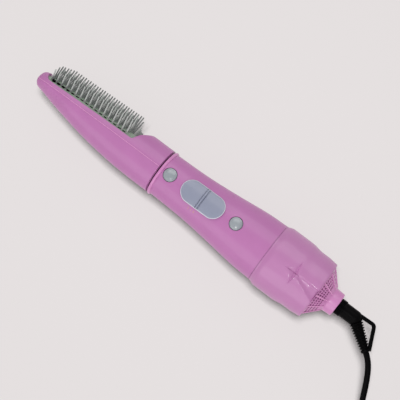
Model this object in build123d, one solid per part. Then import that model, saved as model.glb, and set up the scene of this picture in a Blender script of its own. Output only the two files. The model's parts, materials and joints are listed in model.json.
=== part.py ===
"""Heated styling brush: a hot-air handle, a pull-off brush head, and a flat cord on a swivel.

Every piece is drawn in the tool's own frame, in millimetres: +X runs along the handle from the brush to
the cord, with X = 0 at the joint between head and handle, +Y is the way the bristles point, and +Z is the
way the buttons face. The last section lays the finished tool on its side, as it rests on a table.
"""

from build123d import *
import math
import os

# Brush head: overall form
HEAD_TIP_X = -139.2
HEAD_END_X = -1.2
HEAD_RADIUS = 21.2
HEAD_WALL = 2.0
HEAD_TIP_OVAL = (8.6, 4.6, 9.4)
HEAD_OVALS = (
    (-129.8, 13.2, 6.6, 11.6),
    (-108.8, 16.2, 11.3, 14.4),
    (-76.8, 18.8, 16.9, 18.6),
    (-44.8, 20.6, 20.3, 20.6),
)
HEAD_ROUND_X = -20.8
TIP_FILLET = 3.0

# Brush head: deck, ramp and lip
DECK_TIP_Y = 3.4
DECK_REAR_Y = 4.9
RAMP_FOOT_X = -40.1
RAMP_ANGLE = 45.0
RAMP_WALL = 2.0
LIP_X = -133.2
LIP_RADIUS = 7.0

# Bristle insert
PAD_CROWN_TIP_Y = 10.0
PAD_CROWN_REAR_Y = 11.8
PAD_ARC_TIP = 18.5
PAD_ARC_REAR = 30.0
PAD_UNDERSIDE_Y = 1.2
PAD_GAP = 0.1
BRISTLE_LENGTH_TIP = 17.8
BRISTLE_LENGTH_REAR = 19.2
BRISTLE_ROW_DROP_TIP = 1.15
BRISTLE_ROW_DROP_REAR = 0.4
BRISTLE_SHORTEST = 0.84
BRISTLE_GROWTH = 0.08
BRISTLE_BASE = 1.4
BRISTLE_TAPER = 0.6
BRISTLE_PITCH = 5.25
BRISTLE_ROWS = 7
BRISTLE_ROW_REACH = 34.0
BRISTLE_LEAN = 1.38
BRISTLE_FIRST_X = -127.2
BRISTLE_LAST_X = -43.1
BRISTLE_ROOT = 1.5
AIR_SLOT_LENGTH = 2.8
AIR_SLOT_WIDTH = 1.3
AIR_SLOT_DEPTH = 8.0
TONGUE_HALF_WIDTH = 9.0
TONGUE_THICKNESS = 1.2
TONGUE_HEIGHT = 8.5
TONGUE_PEGS = ((-37.2, 12.0), (-33.7, 5.6))
TONGUE_PEG_SPREAD = 6.0
TONGUE_PEG_LIFT = 0.9

# Joint between head and handle
SPIGOT_RADIUS = 17.5
SPIGOT_WALL = 1.9
SPIGOT_LENGTH = 17.0
SPIGOT_GAP = 0.1
SPIGOT_BACK_X = 1.6
SOCKET_LENGTH = 18.0
GUARD_BAR = 1.4
GUARD_RING = 7.0
GUARD_BARS = 6
KEYWAY_WIDTH = 6.6
LATCH_WIDTH = 5.6
LATCH_FRONT_X = -8.6
LATCH_REAR_X = -4.6
LATCH_SLOPE = 1.5
KEYWAY_RUN = 3.0
LATCH_TOP_Z = 18.6
LATCH_ARM_Z = 15.5
LATCH_ARM_THICKNESS = 1.2

# Front ring and grip
RING_FRONT_X = 0.0
RING_REAR_X = 2.9
RING_CROWN = 21.9
RING_FRONT_RADIUS = 20.7
RING_SEAT = 19.4
GRIP_WALL = 2.0
GRIP_FRONT_RADIUS = 20.5
GRIP_WAIST_RADIUS = 21.5
GRIP_MIDDLE_RADIUS = 24.0
GRIP_REAR_RADIUS = 27.3
GRIP_END_RADIUS = 28.0
GRIP_WAIST_X = 36.0
GRIP_MIDDLE_X = 66.0
GRIP_REAR_X = 97.0
GRIP_END_X = 116.0
COUPLING_RADIUS = 26.2
COUPLING_LENGTH = 10.0
COUPLING_STEP = 3.0

# Controls
RELEASE_X = 10.3
RELEASE_RADIUS = 5.9
RELEASE_PROUD = 1.3
RELEASE_TRAVEL = 1.4
RELEASE_FLANGE_Z = 15.9
COOL_X = 80.9
COOL_RADIUS = 5.65
COOL_PROUD = 1.1
COOL_TRAVEL = 1.5
COOL_FLANGE_Z = 21.2
BUTTON_GAP = 0.3
BUTTON_DOME = 1.0
BUTTON_FLANGE = 0.7
BUTTON_FLANGE_HEIGHT = 0.9
LEAF_THICKNESS = 0.3
LEAF_WIDTH = 3.0
SLIDER_X = 45.7
SLIDER_LENGTH = 43.0
SLIDER_WIDTH = 21.0
SLIDER_THICKNESS = 1.5
SLIDER_FLOAT = 0.3
SLIDER_RIB_X = 45.4
SLIDER_RIB_WIDTH = 1.3
SLIDER_RIB_HEIGHT = 0.7
SLIDER_GROOVE_WIDTH = 0.9
SLIDER_STEP = 2.9
SLIDER_STEPS = 2
SLIDER_FORK_LENGTH = 5.2
SLIDER_FORK_WIDTH = 6.0
KNOB_LENGTH = 3.0
KNOB_WIDTH = 4.0
SWITCH_LOW_Z = 12.9
SWITCH_TOP_Z = 17.4
SWITCH_HALF_LENGTH = 15.0
SWITCH_HALF_WIDTH = 5.0
BOARD_LOW_Z = 10.4
BOARD_TOP_Z = 12.0
BOARD_FRONT_X = 66.0
BOARD_REAR_X = 90.0
BOARD_HALF_WIDTH = 10.0
DIODE_HALF_LENGTH = 2.0
DIODE_HALF_WIDTH = 1.2
DIODE_HEIGHT = 2.0
COOL_SWITCH_FRONT = 6.0
COOL_SWITCH_REAR = 7.0
COOL_SWITCH_TOP_Z = 18.0
KNOB_DEPTH = 1.0
KNOB_HEIGHT = 2.0
SWITCH_SLOT_DEPTH = 1.5

# Heater
MICA_RADIUS = 12.4
MICA_WALL = 0.4
MICA_FRONT_X = -10.0
MICA_REAR_X = 62.0
CARD_THICKNESS = 0.5
CARD_FRONT_X = -6.0
CARD_REAR_X = 60.0
WIRE_SIZE = 0.7
WIRE_CORNER_RADIUS = 11.0
WIRE_TURNS = 11
WIRE_FRONT_X = 0.0
WIRE_PITCH = 4.0
SLEEVE_WALL = 1.0
SLEEVE_END_X = 15.0
SPRING_FLAT = 0.5
SPRING_SEAT_Z = LATCH_ARM_Z - RELEASE_TRAVEL - SPRING_FLAT
THERMOSTAT_X = (51.0, 58.0)
THERMOSTAT_Y = (2.5, 8.0)
THERMOSTAT_HEIGHT = 3.0
FUSE_X = 54.0
FUSE_Y = -5.0
FUSE_RADIUS = 1.3
FUSE_LENGTH = 9.0

# Motor and fan
MOTOR_RADIUS = 13.8
MOTOR_FRONT_X = 93.0
MOTOR_LENGTH = 38.0
MOTOR_BOSS_RADIUS = 5.0
MOTOR_BOSS_LENGTH = 2.0
SHAFT_RADIUS = 1.15
SHAFT_GAP = 0.05
MOUNT_WALL = 1.8
MOUNT_VANES = 7
MOUNT_LEAD = 4.0
FAN_RADIUS = 24.4
FAN_HUB_RADIUS = 9.0
FAN_BLADES = 7
FAN_PITCH_ANGLE = 35.0
FAN_FRONT_X = 136.0
FAN_LENGTH = 9.0
FAN_NOSE = 3.0
BLADE_LENGTH = 9.9
BLADE_THICKNESS = 1.4

# Rear housing
HOUSING_RADIUS = 29.8
HOUSING_LIP_RADIUS = 28.2
HOUSING_LIP_LENGTH = 1.3
HOUSING_LIP_RISE = 0.15
HOUSING_SHOULDER_X = 121.3
HOUSING_WAIST_X = 143.5
HOUSING_WAIST_END_X = 152.0
HOUSING_REAR_RADIUS = 28.3
HOUSING_REAR_X = 160.8
HOUSING_END_X = 169.8
HOUSING_END_RADIUS = 27.3
HOUSING_ROUNDING = (2, 6, 30, 30, 20, 3)
HOUSING_WALL = 2.2
HOUSING_STEP_X = 142.5
HOUSING_STEP_END_X = 147.0
HOUSING_RELIEF = (0.5, 2.0)
HOUSING_TURN = 7.5
SEAM = 0.3
FLUTE_COUNT = 2
FLUTE_START_X = 145.5
FLUTE_START_Z = 28.8
FLUTE_DEPTH = 1.6
FLUTE_END_RADIUS = 30.0
CREASE_FLOOR = 27.8
CREASE_REACH = 28.0
CREASE_HALF_WIDTH = 6.0
CREASE_RISE = 2.85

# Intake grille
CONE_RADIUS = 24.2
CONE_END_X = 181.2
NECK_RADIUS = 11.35
NECK_END_RADIUS = 10.9
NECK_END_X = 190.0
NECK_EDGE = 0.6
NECK_PLAY = 0.2
GRILLE_WALL = 1.8
GRILLE_SPIGOT_WALL = 1.1
GRILLE_SECTORS = 12
GRILLE_COLUMNS = 4
GRILLE_RINGS = 4
GRILLE_RIB = 2.3
GRILLE_FIRST_RING = 2.2
GRILLE_RING_PITCH = 3.0
GRILLE_SLOT_LENGTH = 1.9
GRILLE_SLOT_DEPTH = 6.0
GRILLE_BAR = 0.75
GRILLE_SPIGOT_X = 160.0
GRILLE_RAISED = 0.5

# Swivel, strain relief and hanging loop
SWIVEL_RADIUS = 5.5
SWIVEL_GAP = 0.06
SWIVEL_FRONT_X = 175.0
SWIVEL_FACE_GAP = 0.4
SOCKET_FLOOR = 4.0
SOCKET_SUNK = 0.8
SLIP_RING_X = (177.0, 182.0)
SLIP_RING_LENGTH = 2.0
COLLAR_RADIUS = 7.5
COLLAR_LENGTH = 5.6
RELIEF_RADIUS = 6.75
RELIEF_STRAIGHT = 11.6
RELIEF_BEND = 35.6
RELIEF_LENGTH = 30.5
RELIEF_RIBS = 12
RELIEF_RIB_PITCH = 2.3
RELIEF_RIB_START = 1.6
RELIEF_RIB_SHARE = 0.42
RELIEF_ROOT_RADIUS = 6.2
RELIEF_END_RADIUS = 3.9
RELIEF_GROOVE = 1.1
LOOP_POINTS = ((204.6, 4.2), (224.7, 5.1), (233.8, -15.2))
LOOP_ROUNDING = 3.7
LOOP_THICKNESS = 3.2
LOOP_WIDTH = 4.2
LOOP_EDGE = 0.8

# Cord and plug
CORD_DIAMETER = 5.2
CORD_EXIT_RUN = 8.5
CORD_TAIL_RUN = 10.0
CORD_LEAD = (
    (248.6, -38.8, 27.2),
    (257.0, -56.0, 17.5),
    (271.0, -67.5, 7.6),
    (288.0, -69.8, 2.6),
    (304.0, -66.9, 2.6),
    (319.0, -62.05, 2.6),
)
CORD_TAIL = ((364.7, -62.05, 13.0),)
COIL_CENTRE = (334.0, -27.0)
COIL_INNER_RADIUS = 22.0
COIL_LAYERS = 4
COIL_QUARTERS = 9
COIL_STEP = 5.8
CORD_SIDES = 8
CORD_BEND_SHARE = 0.45
PLUG_START = (374.7, -62.05, 13.0)
PLUG_RELIEF_LENGTH = 14.0
PLUG_RELIEF_RADIUS = 5.0
PLUG_SHOULDER_LENGTH = 18.0
PLUG_BODY_LENGTH = 18.0
PLUG_WIDTH = 37.0
PLUG_HEIGHT = 26.0
PLUG_RIBS = 4
PLUG_RIB_START = 2.0
PLUG_RIB_PITCH = 3.0
PLUG_RIB_RADIUS = 3.9
PLUG_RIB_GROWTH = 0.25
PLUG_GROOVE_RADIUS = 3.0
PLUG_GROOVE_LENGTH = 1.2
PIN_RADIUS = 2.4
PIN_LENGTH = 19.0
PIN_TIP_RADIUS = 1.4
PIN_ROOT_RADIUS = 2.0
PIN_ROOT_LENGTH = 4.0
PIN_SPACING = 19.0
PIN_SIDES = (-PIN_SPACING / 2, PIN_SPACING / 2)
PLUG_NECK = (13.0, 12.0)
PLUG_EDGE = 1.2

# Small shared sizes
FULL_CIRCLE = 360.0
FAR = 200.0
EDGE = 0.4
SCREW_X = 100.0
SCREW_Y = 19.6
SCREW_HEAD_RADIUS = 2.4
SCREW_HEAD_HEIGHT = 1.8
SCREW_SHANK_RADIUS = 1.2
SCREW_SEAT_Z = -6.0
SCREW_TIP_Z = 7.0
BOSS_RADIUS = 3.4
POST = 1.2


def rod(start_x, end_x, radius):
    """A solid cylinder on the handle's axis."""
    centre = Pos((start_x + end_x) / 2, 0, 0) * Rot(0, 90, 0)
    return centre * Cylinder(radius, end_x - start_x)


def tube(start_x, end_x, outer, inner):
    """A hollow cylinder on the handle's axis."""
    return rod(start_x, end_x, outer) - rod(start_x, end_x, inner)


def block(low, high):
    """A box between two opposite corners."""
    size = [b - a for a, b in zip(low, high)]
    middle = [(a + b) / 2 for a, b in zip(low, high)]
    return Pos(*middle) * Box(*size)


def upright(x, y, low_z, high_z, radius):
    """A solid cylinder that stands along Z."""
    return Pos(x, y, (low_z + high_z) / 2) * Cylinder(radius, high_z - low_z)


def turned(edges):
    """The solid of a closed outline in the XY plane turned about the handle's axis."""
    return revolve(make_face(edges), Axis.X, FULL_CIRCLE)


def polygon_solid(points, low_z, high_z):
    """A prism along Z over an outline in the XY plane."""
    face = make_face(Polyline(*points, close=True))
    return extrude(Pos(0, 0, low_z) * face, amount=high_z - low_z, dir=(0, 0, 1))


def about_axis(piece, count, first=0.0):
    """Copies of a piece, evenly turned about the handle's axis."""
    return [Rot(first + FULL_CIRCLE * k / count, 0, 0) * piece for k in range(count)]


def between(x, start, end):
    """A value that runs evenly from one (x, value) pair to another."""
    share = (x - start[0]) / (end[0] - start[0])
    return start[1] + share * (end[1] - start[1])


# Brush head


def head_oval(x, width, depth, rise):
    """One cross-section of the head: half an oval below the parting plane and half above."""
    below = EllipticalCenterArc((0, 0), depth, width, start_angle=90, arc_size=180)
    above = EllipticalCenterArc((0, 0), rise, width, start_angle=270, arc_size=180)
    return Plane.YZ.offset(x) * make_face([below, above])


def head_form(inset):
    """The head's outer form, or the same form drawn in by a wall."""
    round_end = (HEAD_ROUND_X, HEAD_RADIUS, HEAD_RADIUS, HEAD_RADIUS)
    ovals = ((HEAD_TIP_X + inset, *HEAD_TIP_OVAL), *HEAD_OVALS, round_end)
    return loft([head_oval(x, w - inset, d - inset, r - inset) for x, w, d, r in ovals])


def deck_y(x):
    """Height of the deck that the bristles stand on."""
    return between(x, (LIP_X, DECK_TIP_Y), (RAMP_FOOT_X, DECK_REAR_Y))


def ramp_point(height, back=0.0):
    """A point on the ramp's face at a height above its foot, or that far inside its wall."""
    run = height / math.tan(math.radians(RAMP_ANGLE)) + back / math.sin(math.radians(RAMP_ANGLE))
    return (RAMP_FOOT_X + run, DECK_REAR_Y + height)


def deck_cut():
    """What is cut away over the deck, between the lip at the tip and the ramp."""
    lip_foot_x = LIP_X + LIP_RADIUS
    low = (lip_foot_x, deck_y(lip_foot_x))
    high = (LIP_X, low[1] + LIP_RADIUS)
    arc = RadiusArc(high, low, -LIP_RADIUS)
    deck = Polyline(low, ramp_point(0), ramp_point(FAR / 4), (LIP_X, ramp_point(FAR / 4)[1]), high)
    return extrude(make_face([arc, deck]), amount=FAR / 4, both=True)


def head_shells():
    """The head's two shells: the back, and the front with the bristle opening."""
    outer = head_form(0)
    outer = fillet(outer.faces().sort_by(Axis.X)[0].edges(), TIP_FILLET)
    outer = outer + rod(HEAD_ROUND_X, HEAD_END_X, HEAD_RADIUS)
    faces = (ramp_point(-HEAD_WALL), ramp_point(FAR / 4))
    backs = (ramp_point(FAR / 4, RAMP_WALL), ramp_point(-HEAD_WALL, RAMP_WALL))
    ramp = polygon_solid((*faces, *backs), -HEAD_RADIUS, HEAD_RADIUS)
    hollow = head_form(HEAD_WALL) + rod(HEAD_ROUND_X, HEAD_END_X + 1, HEAD_RADIUS - HEAD_WALL)
    back = split(outer - hollow, bisect_by=Plane.XZ, keep=Keep.TOP)
    front = split(outer - (hollow - ramp), bisect_by=Plane.XZ, keep=Keep.BOTTOM) - deck_cut()
    return back, front


def pad_arc(x):
    """Radius of the bristle pad's crowned face."""
    return between(x, (LIP_X, PAD_ARC_TIP), (RAMP_FOOT_X, PAD_ARC_REAR))


def pad_crown(x):
    """Height of the bristle pad's crown."""
    return between(x, (LIP_X, PAD_CROWN_TIP_Y), (RAMP_FOOT_X, PAD_CROWN_REAR_Y))


def pad_frame(x, angle, lean, sunk=0.0):
    """A frame on the pad's face or sunk under it, with its Z axis leaning out of the face."""
    turn = math.radians(angle)
    out = math.radians(lean)
    radius = pad_arc(x) - sunk
    y = pad_crown(x) - pad_arc(x) + radius * math.cos(turn)
    z = radius * math.sin(turn)
    return Plane((x, y, z), x_dir=(1, 0, 0), z_dir=(0, math.cos(out), math.sin(out)))


def bristle_length(x, row):
    """Length of a bristle: longest at the rear and in the middle row, and rounded off at the tip."""
    tip, rear = BRISTLE_FIRST_X, BRISTLE_LAST_X
    middle = between(x, (tip, BRISTLE_LENGTH_TIP), (rear, BRISTLE_LENGTH_REAR))
    drop = between(x, (tip, BRISTLE_ROW_DROP_TIP), (rear, BRISTLE_ROW_DROP_REAR))
    from_tip = (x - BRISTLE_FIRST_X) / BRISTLE_PITCH
    return (middle - drop * abs(row)) * min(1.0, BRISTLE_SHORTEST + BRISTLE_GROWTH * from_tip)


def bristle(frame, length):
    """One tapered bristle of four sides."""
    return extrude(frame * Rectangle(BRISTLE_BASE, BRISTLE_BASE), amount=length, taper=BRISTLE_TAPER)


def bristle_places():
    """Position along the head and row number of every bristle on the pad."""
    half = BRISTLE_ROWS // 2
    count = math.floor((BRISTLE_LAST_X - BRISTLE_FIRST_X) / BRISTLE_PITCH) + 1
    places = [BRISTLE_FIRST_X + k * BRISTLE_PITCH for k in range(count)]
    return [(x, row) for row in range(-half, half + 1) for x in places]


def crown_circle(x):
    """The circle of the pad's crowned face at one place along the head."""
    plane = Plane((x, pad_crown(x) - pad_arc(x), 0), x_dir=(0, 1, 0), z_dir=(1, 0, 0))
    return plane * Circle(pad_arc(x))


def bristle_insert():
    """The crowned pad with its air slots, its end tongue and all its bristles, moulded in one."""
    row_step = BRISTLE_ROW_REACH / (BRISTLE_ROWS // 2)
    underside = ((LIP_X, PAD_UNDERSIDE_Y), ramp_point(PAD_UNDERSIDE_Y - DECK_REAR_Y))
    bed = polygon_solid((*underside, ramp_point(FAR / 8), (LIP_X, FAR / 8)), -HEAD_RADIUS, HEAD_RADIUS)
    crown = loft([crown_circle(LIP_X - 1), crown_circle(RAMP_FOOT_X + FAR / 8)], ruled=True)
    pad = head_form(HEAD_WALL + PAD_GAP) & bed & crown
    slots = []
    for x, row in bristle_places():
        if row % 2 != 0 and x + BRISTLE_PITCH < BRISTLE_LAST_X:
            frame = pad_frame(x + BRISTLE_PITCH / 2, row * row_step, row * row_step)
            slots.append(frame * Box(AIR_SLOT_LENGTH, AIR_SLOT_WIDTH, 2 * AIR_SLOT_DEPTH))
    pad = pad - slots
    rests = (ramp_point(-HEAD_WALL), ramp_point(TONGUE_HEIGHT))
    faces = (ramp_point(TONGUE_HEIGHT, -TONGUE_THICKNESS), ramp_point(-HEAD_WALL, -TONGUE_THICKNESS))
    pad = pad + polygon_solid((*rests, *faces), -TONGUE_HALF_WIDTH, TONGUE_HALF_WIDTH)
    bristles = []
    for x, row in bristle_places():
        frame = pad_frame(x, row * row_step, row * row_step * BRISTLE_LEAN, BRISTLE_ROOT)
        bristles.append(bristle(frame, bristle_length(x, row)))
    for x, length in TONGUE_PEGS:
        for z in (-TONGUE_PEG_SPREAD, 0.0, TONGUE_PEG_SPREAD):
            y = DECK_REAR_Y + x - RAMP_FOOT_X + TONGUE_PEG_LIFT
            base = Plane((x, y, z), x_dir=(1, 0, 0), z_dir=(0, 1, 0))
            bristles.append(bristle(base, length))
    return pad + bristles


def head_socket():
    """The ring inside the head that slides over the handle's spigot, with a keyway for the latch."""
    start_x = HEAD_END_X - SOCKET_LENGTH
    ring = tube(start_x, HEAD_END_X, HEAD_RADIUS - HEAD_WALL, SPIGOT_RADIUS + SPIGOT_GAP)
    half = KEYWAY_WIDTH / 2
    low = (LATCH_FRONT_X - KEYWAY_RUN, -half, 0)
    return ring - block(low, (HEAD_END_X + 1, half, HEAD_RADIUS - HEAD_WALL - EDGE))


# Handle shells and front ring


GRIP_POINTS = (
    (RING_REAR_X, GRIP_FRONT_RADIUS),
    (GRIP_WAIST_X, GRIP_WAIST_RADIUS),
    (GRIP_MIDDLE_X, GRIP_MIDDLE_RADIUS),
    (GRIP_REAR_X, GRIP_REAR_RADIUS),
    (GRIP_END_X, GRIP_END_RADIUS),
)


def grip_radius(x):
    """Outer radius of the grip at one place along it, near enough to set what stands on it."""
    for start, end in zip(GRIP_POINTS, GRIP_POINTS[1:]):
        if x <= end[0]:
            return between(x, start, end)
    return GRIP_END_RADIUS


def grip_curve(offset):
    """The grip's outline, moved out from its surface by an offset."""
    return Spline(*((x, r + offset) for x, r in GRIP_POINTS))


def grip_solid(offset):
    """The solid under the grip's outline, moved out from its surface by an offset."""
    curve = grip_curve(offset)
    close = Polyline(curve @ 1, (GRIP_END_X, 0), (RING_REAR_X, 0), curve @ 0)
    return turned([curve, close])


def grip_tube():
    """The whole moulded grip before it is parted into two shells."""
    bore = COUPLING_RADIUS - GRIP_WALL
    step_x = GRIP_END_X - COUPLING_STEP
    rear_x = GRIP_END_X + COUPLING_LENGTH
    inner_points = [(x, r - GRIP_WALL) for x, r in GRIP_POINTS[:-1]]
    outer = grip_curve(0)
    inner = Spline(*inner_points, (step_x, GRIP_END_RADIUS - GRIP_WALL))
    front = Polyline(
        inner @ 0,
        (SPIGOT_BACK_X, GRIP_FRONT_RADIUS - GRIP_WALL),
        (SPIGOT_BACK_X, RING_SEAT),
        (RING_REAR_X, RING_SEAT),
        outer @ 0,
    )
    coupling = ((GRIP_END_X, COUPLING_RADIUS), (rear_x, COUPLING_RADIUS), (rear_x, bore), (step_x, bore))
    rear = Polyline(outer @ 1, *coupling, inner @ 1)
    return turned([front, outer, rear, inner])


def slider_slot():
    """The opening in the grip that the slider's fork runs in."""
    travel = SLIDER_STEP * SLIDER_STEPS
    low_x = SLIDER_RIB_X - SLIDER_FORK_LENGTH / 2 - travel - EDGE
    high_x = SLIDER_RIB_X + SLIDER_FORK_LENGTH / 2 + EDGE
    half = SLIDER_FORK_WIDTH / 2 + EDGE
    return block((low_x, -half, 0), (high_x, half, FAR / 4))


def handle_shells():
    """The grip's upper shell with its openings and posts, and its lower shell with screw bosses."""
    whole = grip_tube()
    under_skin = grip_solid(-GRIP_WALL / 2)
    upper = split(whole, bisect_by=Plane.XY, keep=Keep.TOP)
    lower = split(whole, bisect_by=Plane.XY, keep=Keep.BOTTOM)
    switch_ends = [SLIDER_RIB_X - SWITCH_HALF_LENGTH + POST, SLIDER_RIB_X + SWITCH_HALF_LENGTH - POST]
    posts = []
    for x in switch_ends:
        posts.append(block((x - POST, -3 * POST, SWITCH_TOP_Z), (x + POST, 3 * POST, FAR / 4)))
    for x in (BOARD_FRONT_X + 2 * POST, BOARD_REAR_X - 2 * POST):
        for y in (-BOARD_HALF_WIDTH + 2 * POST, BOARD_HALF_WIDTH - 2 * POST):
            posts.append(upright(x, y, BOARD_TOP_Z, FAR / 4, POST + EDGE))
    for y in (-SCREW_Y, SCREW_Y):
        posts.append(upright(SCREW_X, y, 0, FAR / 4, BOSS_RADIUS))
        boss = upright(SCREW_X, y, -FAR / 4, 0, BOSS_RADIUS) & under_skin
        lower = lower + boss
    for post in posts:
        upper = upper + (post & under_skin)
    for y in (-SCREW_Y, SCREW_Y):
        upper = upper - upright(SCREW_X, y, -1, SCREW_TIP_Z + 1, SCREW_SHANK_RADIUS)
        lower = lower - upright(SCREW_X, y, -FAR / 4, SCREW_SEAT_Z, SCREW_HEAD_RADIUS + EDGE)
        lower = lower - upright(SCREW_X, y, SCREW_SEAT_Z - 1, 1, SCREW_SHANK_RADIUS + EDGE / 2)
    upper = upper - upright(RELEASE_X, 0, 0, FAR / 4, RELEASE_RADIUS + BUTTON_GAP)
    upper = upper - upright(COOL_X, 0, 0, FAR / 4, COOL_RADIUS + BUTTON_GAP)
    return upper - slider_slot(), lower


def shell_screws():
    """The two screws that close the shells, in deep holes in the lower one."""
    screws = []
    for y in (-SCREW_Y, SCREW_Y):
        head_low = SCREW_SEAT_Z - SCREW_HEAD_HEIGHT
        head = upright(SCREW_X, y, head_low, SCREW_SEAT_Z, SCREW_HEAD_RADIUS)
        drive = upright(SCREW_X, y, head_low - 1, head_low + EDGE * 2, SCREW_HEAD_RADIUS / 3)
        screws.append(head - drive + upright(SCREW_X, y, SCREW_SEAT_Z, SCREW_TIP_Z, SCREW_SHANK_RADIUS))
    return Compound(children=screws)


def front_ring():
    """The beaded trim ring round the front of the grip."""
    crown_x = (RING_FRONT_X + RING_REAR_X) / 2
    front = (RING_FRONT_X, RING_FRONT_RADIUS)
    rear = (RING_REAR_X, GRIP_FRONT_RADIUS)
    bead = ThreePointArc(front, (crown_x, RING_CROWN), rear)
    seat = Polyline(rear, (RING_REAR_X, RING_SEAT), (RING_FRONT_X, RING_SEAT), front)
    return turned([bead, seat])


def outlet_spigot():
    """The black outlet tube that carries the head, with its guard, flange and the heater's sleeve."""
    inner = SPIGOT_RADIUS - SPIGOT_WALL
    front_x = RING_FRONT_X - SPIGOT_LENGTH
    barrel = tube(front_x, SPIGOT_BACK_X, SPIGOT_RADIUS, inner)
    flange = tube(RING_FRONT_X, SPIGOT_BACK_X, RING_SEAT, MICA_RADIUS)
    sleeve = tube(RING_FRONT_X, SLEEVE_END_X, MICA_RADIUS + SLEEVE_WALL, MICA_RADIUS)
    half = LEAF_WIDTH / 2 + EDGE
    seat = block((SPIGOT_BACK_X, -half, 0), (SLEEVE_END_X, half, SPRING_SEAT_Z))
    seat = seat - rod(0, SLEEVE_END_X, MICA_RADIUS)
    half_bar = GUARD_BAR / 2
    guard = tube(front_x, front_x + GUARD_BAR, GUARD_RING + half_bar, GUARD_RING - half_bar)
    bar = block((front_x, -half_bar, GUARD_RING), (front_x + GUARD_BAR, half_bar, inner + EDGE))
    for copy in about_axis(bar, GUARD_BARS):
        guard = guard + copy
    slot_half = LATCH_WIDTH / 2 + BUTTON_GAP
    slot = block((LATCH_FRONT_X - 1, -slot_half, SPRING_SEAT_Z), (SPIGOT_BACK_X + 1, slot_half, FAR / 4))
    return barrel + flange + sleeve + seat + guard - slot


# Controls


def button_cap(x, radius, flange_z, top_z):
    """A domed round button with the flange that keeps it under the grip."""
    dome_radius = (radius**2 + BUTTON_DOME**2) / (2 * BUTTON_DOME)
    cap = upright(x, 0, flange_z, top_z, radius) & Pos(x, 0, top_z - dome_radius) * Sphere(dome_radius)
    return cap + upright(x, 0, flange_z, flange_z + BUTTON_FLANGE_HEIGHT, radius + BUTTON_FLANGE)


def release_button():
    """The button with the latch arm that holds the brush head on."""
    cap = button_cap(RELEASE_X, RELEASE_RADIUS, RELEASE_FLANGE_Z, grip_radius(RELEASE_X) + RELEASE_PROUD)
    half = LATCH_WIDTH / 2
    arm_top = LATCH_ARM_Z + LATCH_ARM_THICKNESS
    arm_rear_x = RELEASE_X + LEAF_WIDTH + EDGE
    arm = block((LATCH_FRONT_X, -half, LATCH_ARM_Z), (arm_rear_x, half, arm_top))
    slope = ((LATCH_FRONT_X, 0, arm_top), (LATCH_FRONT_X + LATCH_SLOPE, 0, LATCH_TOP_Z))
    back = ((LATCH_REAR_X, 0, LATCH_TOP_Z), (LATCH_REAR_X, 0, arm_top))
    face = make_face(Polyline(*slope, *back, close=True))
    nose = extrude(face, amount=half, dir=(0, 1, 0), both=True)
    return cap + arm + nose


def cool_button():
    """The cool-shot button with the stem that presses its switch."""
    cap = button_cap(COOL_X, COOL_RADIUS, COOL_FLANGE_Z, grip_radius(COOL_X) + COOL_PROUD)
    stem_low = COOL_SWITCH_TOP_Z + COOL_TRAVEL + BUTTON_GAP
    return cap + upright(COOL_X - LEAF_WIDTH, 0, stem_low, COOL_FLANGE_Z, LEAF_WIDTH / 2 - EDGE)


def leaf_spring(start_x, low_z, high_z):
    """A strip folded into a U that pushes a button back up."""
    radius = (high_z - low_z) / 2
    bend_x = start_x + radius
    end_x = start_x + 2 * LEAF_WIDTH
    low_in = low_z + LEAF_THICKNESS
    high_in = high_z - LEAF_THICKNESS
    outer = ThreePointArc((bend_x, 0, low_z), (start_x, 0, low_z + radius), (bend_x, 0, high_z))
    upper = Polyline(outer @ 1, (end_x, 0, high_z), (end_x, 0, high_in), (bend_x, 0, high_in))
    middle = (start_x + LEAF_THICKNESS, 0, low_z + radius)
    inner = ThreePointArc(upper @ 1, middle, (bend_x, 0, low_in))
    lower = Polyline(inner @ 1, (end_x, 0, low_in), (end_x, 0, low_z), outer @ 0)
    face = make_face([outer, upper, inner, lower])
    return extrude(face, amount=LEAF_WIDTH / 2, dir=(0, 1, 0), both=True)


def release_spring():
    """The leaf under the release button."""
    return leaf_spring(RELEASE_X - LEAF_WIDTH + EDGE, SPRING_SEAT_Z, LATCH_ARM_Z)


def cool_spring():
    """The leaf under the cool-shot button."""
    return leaf_spring(COOL_X - EDGE, COOL_SWITCH_TOP_Z, COOL_FLANGE_Z)


def slider_band(half):
    """A slice across the slider, centred on its rib."""
    low = (SLIDER_RIB_X - half, -SLIDER_WIDTH, 0)
    return block(low, (SLIDER_RIB_X + half, SLIDER_WIDTH, FAR / 4))


def slider_cap():
    """The long oval slider that follows the grip, with its cross rib and the fork below."""
    outline = extrude(Pos(SLIDER_X, 0, 0) * SlotOverall(SLIDER_LENGTH, SLIDER_WIDTH), amount=FAR / 4)
    under = grip_solid(SLIDER_FLOAT)
    top = SLIDER_FLOAT + SLIDER_THICKNESS
    cap = (outline & grip_solid(top)) - under
    half_rib = SLIDER_RIB_WIDTH / 2
    cap = cap - (slider_band(half_rib + SLIDER_GROOVE_WIDTH) - grip_solid(top - EDGE))
    cap = cap + ((slider_band(half_rib) & outline & grip_solid(top + SLIDER_RIB_HEIGHT)) - under)
    half_fork = SLIDER_FORK_LENGTH / 2
    low = (SLIDER_RIB_X - half_fork, -SLIDER_FORK_WIDTH / 2, SWITCH_TOP_Z + 2 * EDGE)
    high = (SLIDER_RIB_X + half_fork, SLIDER_FORK_WIDTH / 2, FAR / 4)
    fork = block(low, high) & grip_solid(SLIDER_FLOAT + EDGE)
    return cap + fork - knob_block(EDGE / 4)


def knob_block(gap):
    """The switch's knob, or its pocket when a gap is given."""
    half_length = KNOB_LENGTH / 2 + gap
    half_width = KNOB_WIDTH / 2 + gap
    low = (SLIDER_RIB_X - half_length, -half_width, SWITCH_TOP_Z - KNOB_DEPTH)
    return block(low, (SLIDER_RIB_X + half_length, half_width, SWITCH_TOP_Z + KNOB_HEIGHT + gap))


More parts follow.
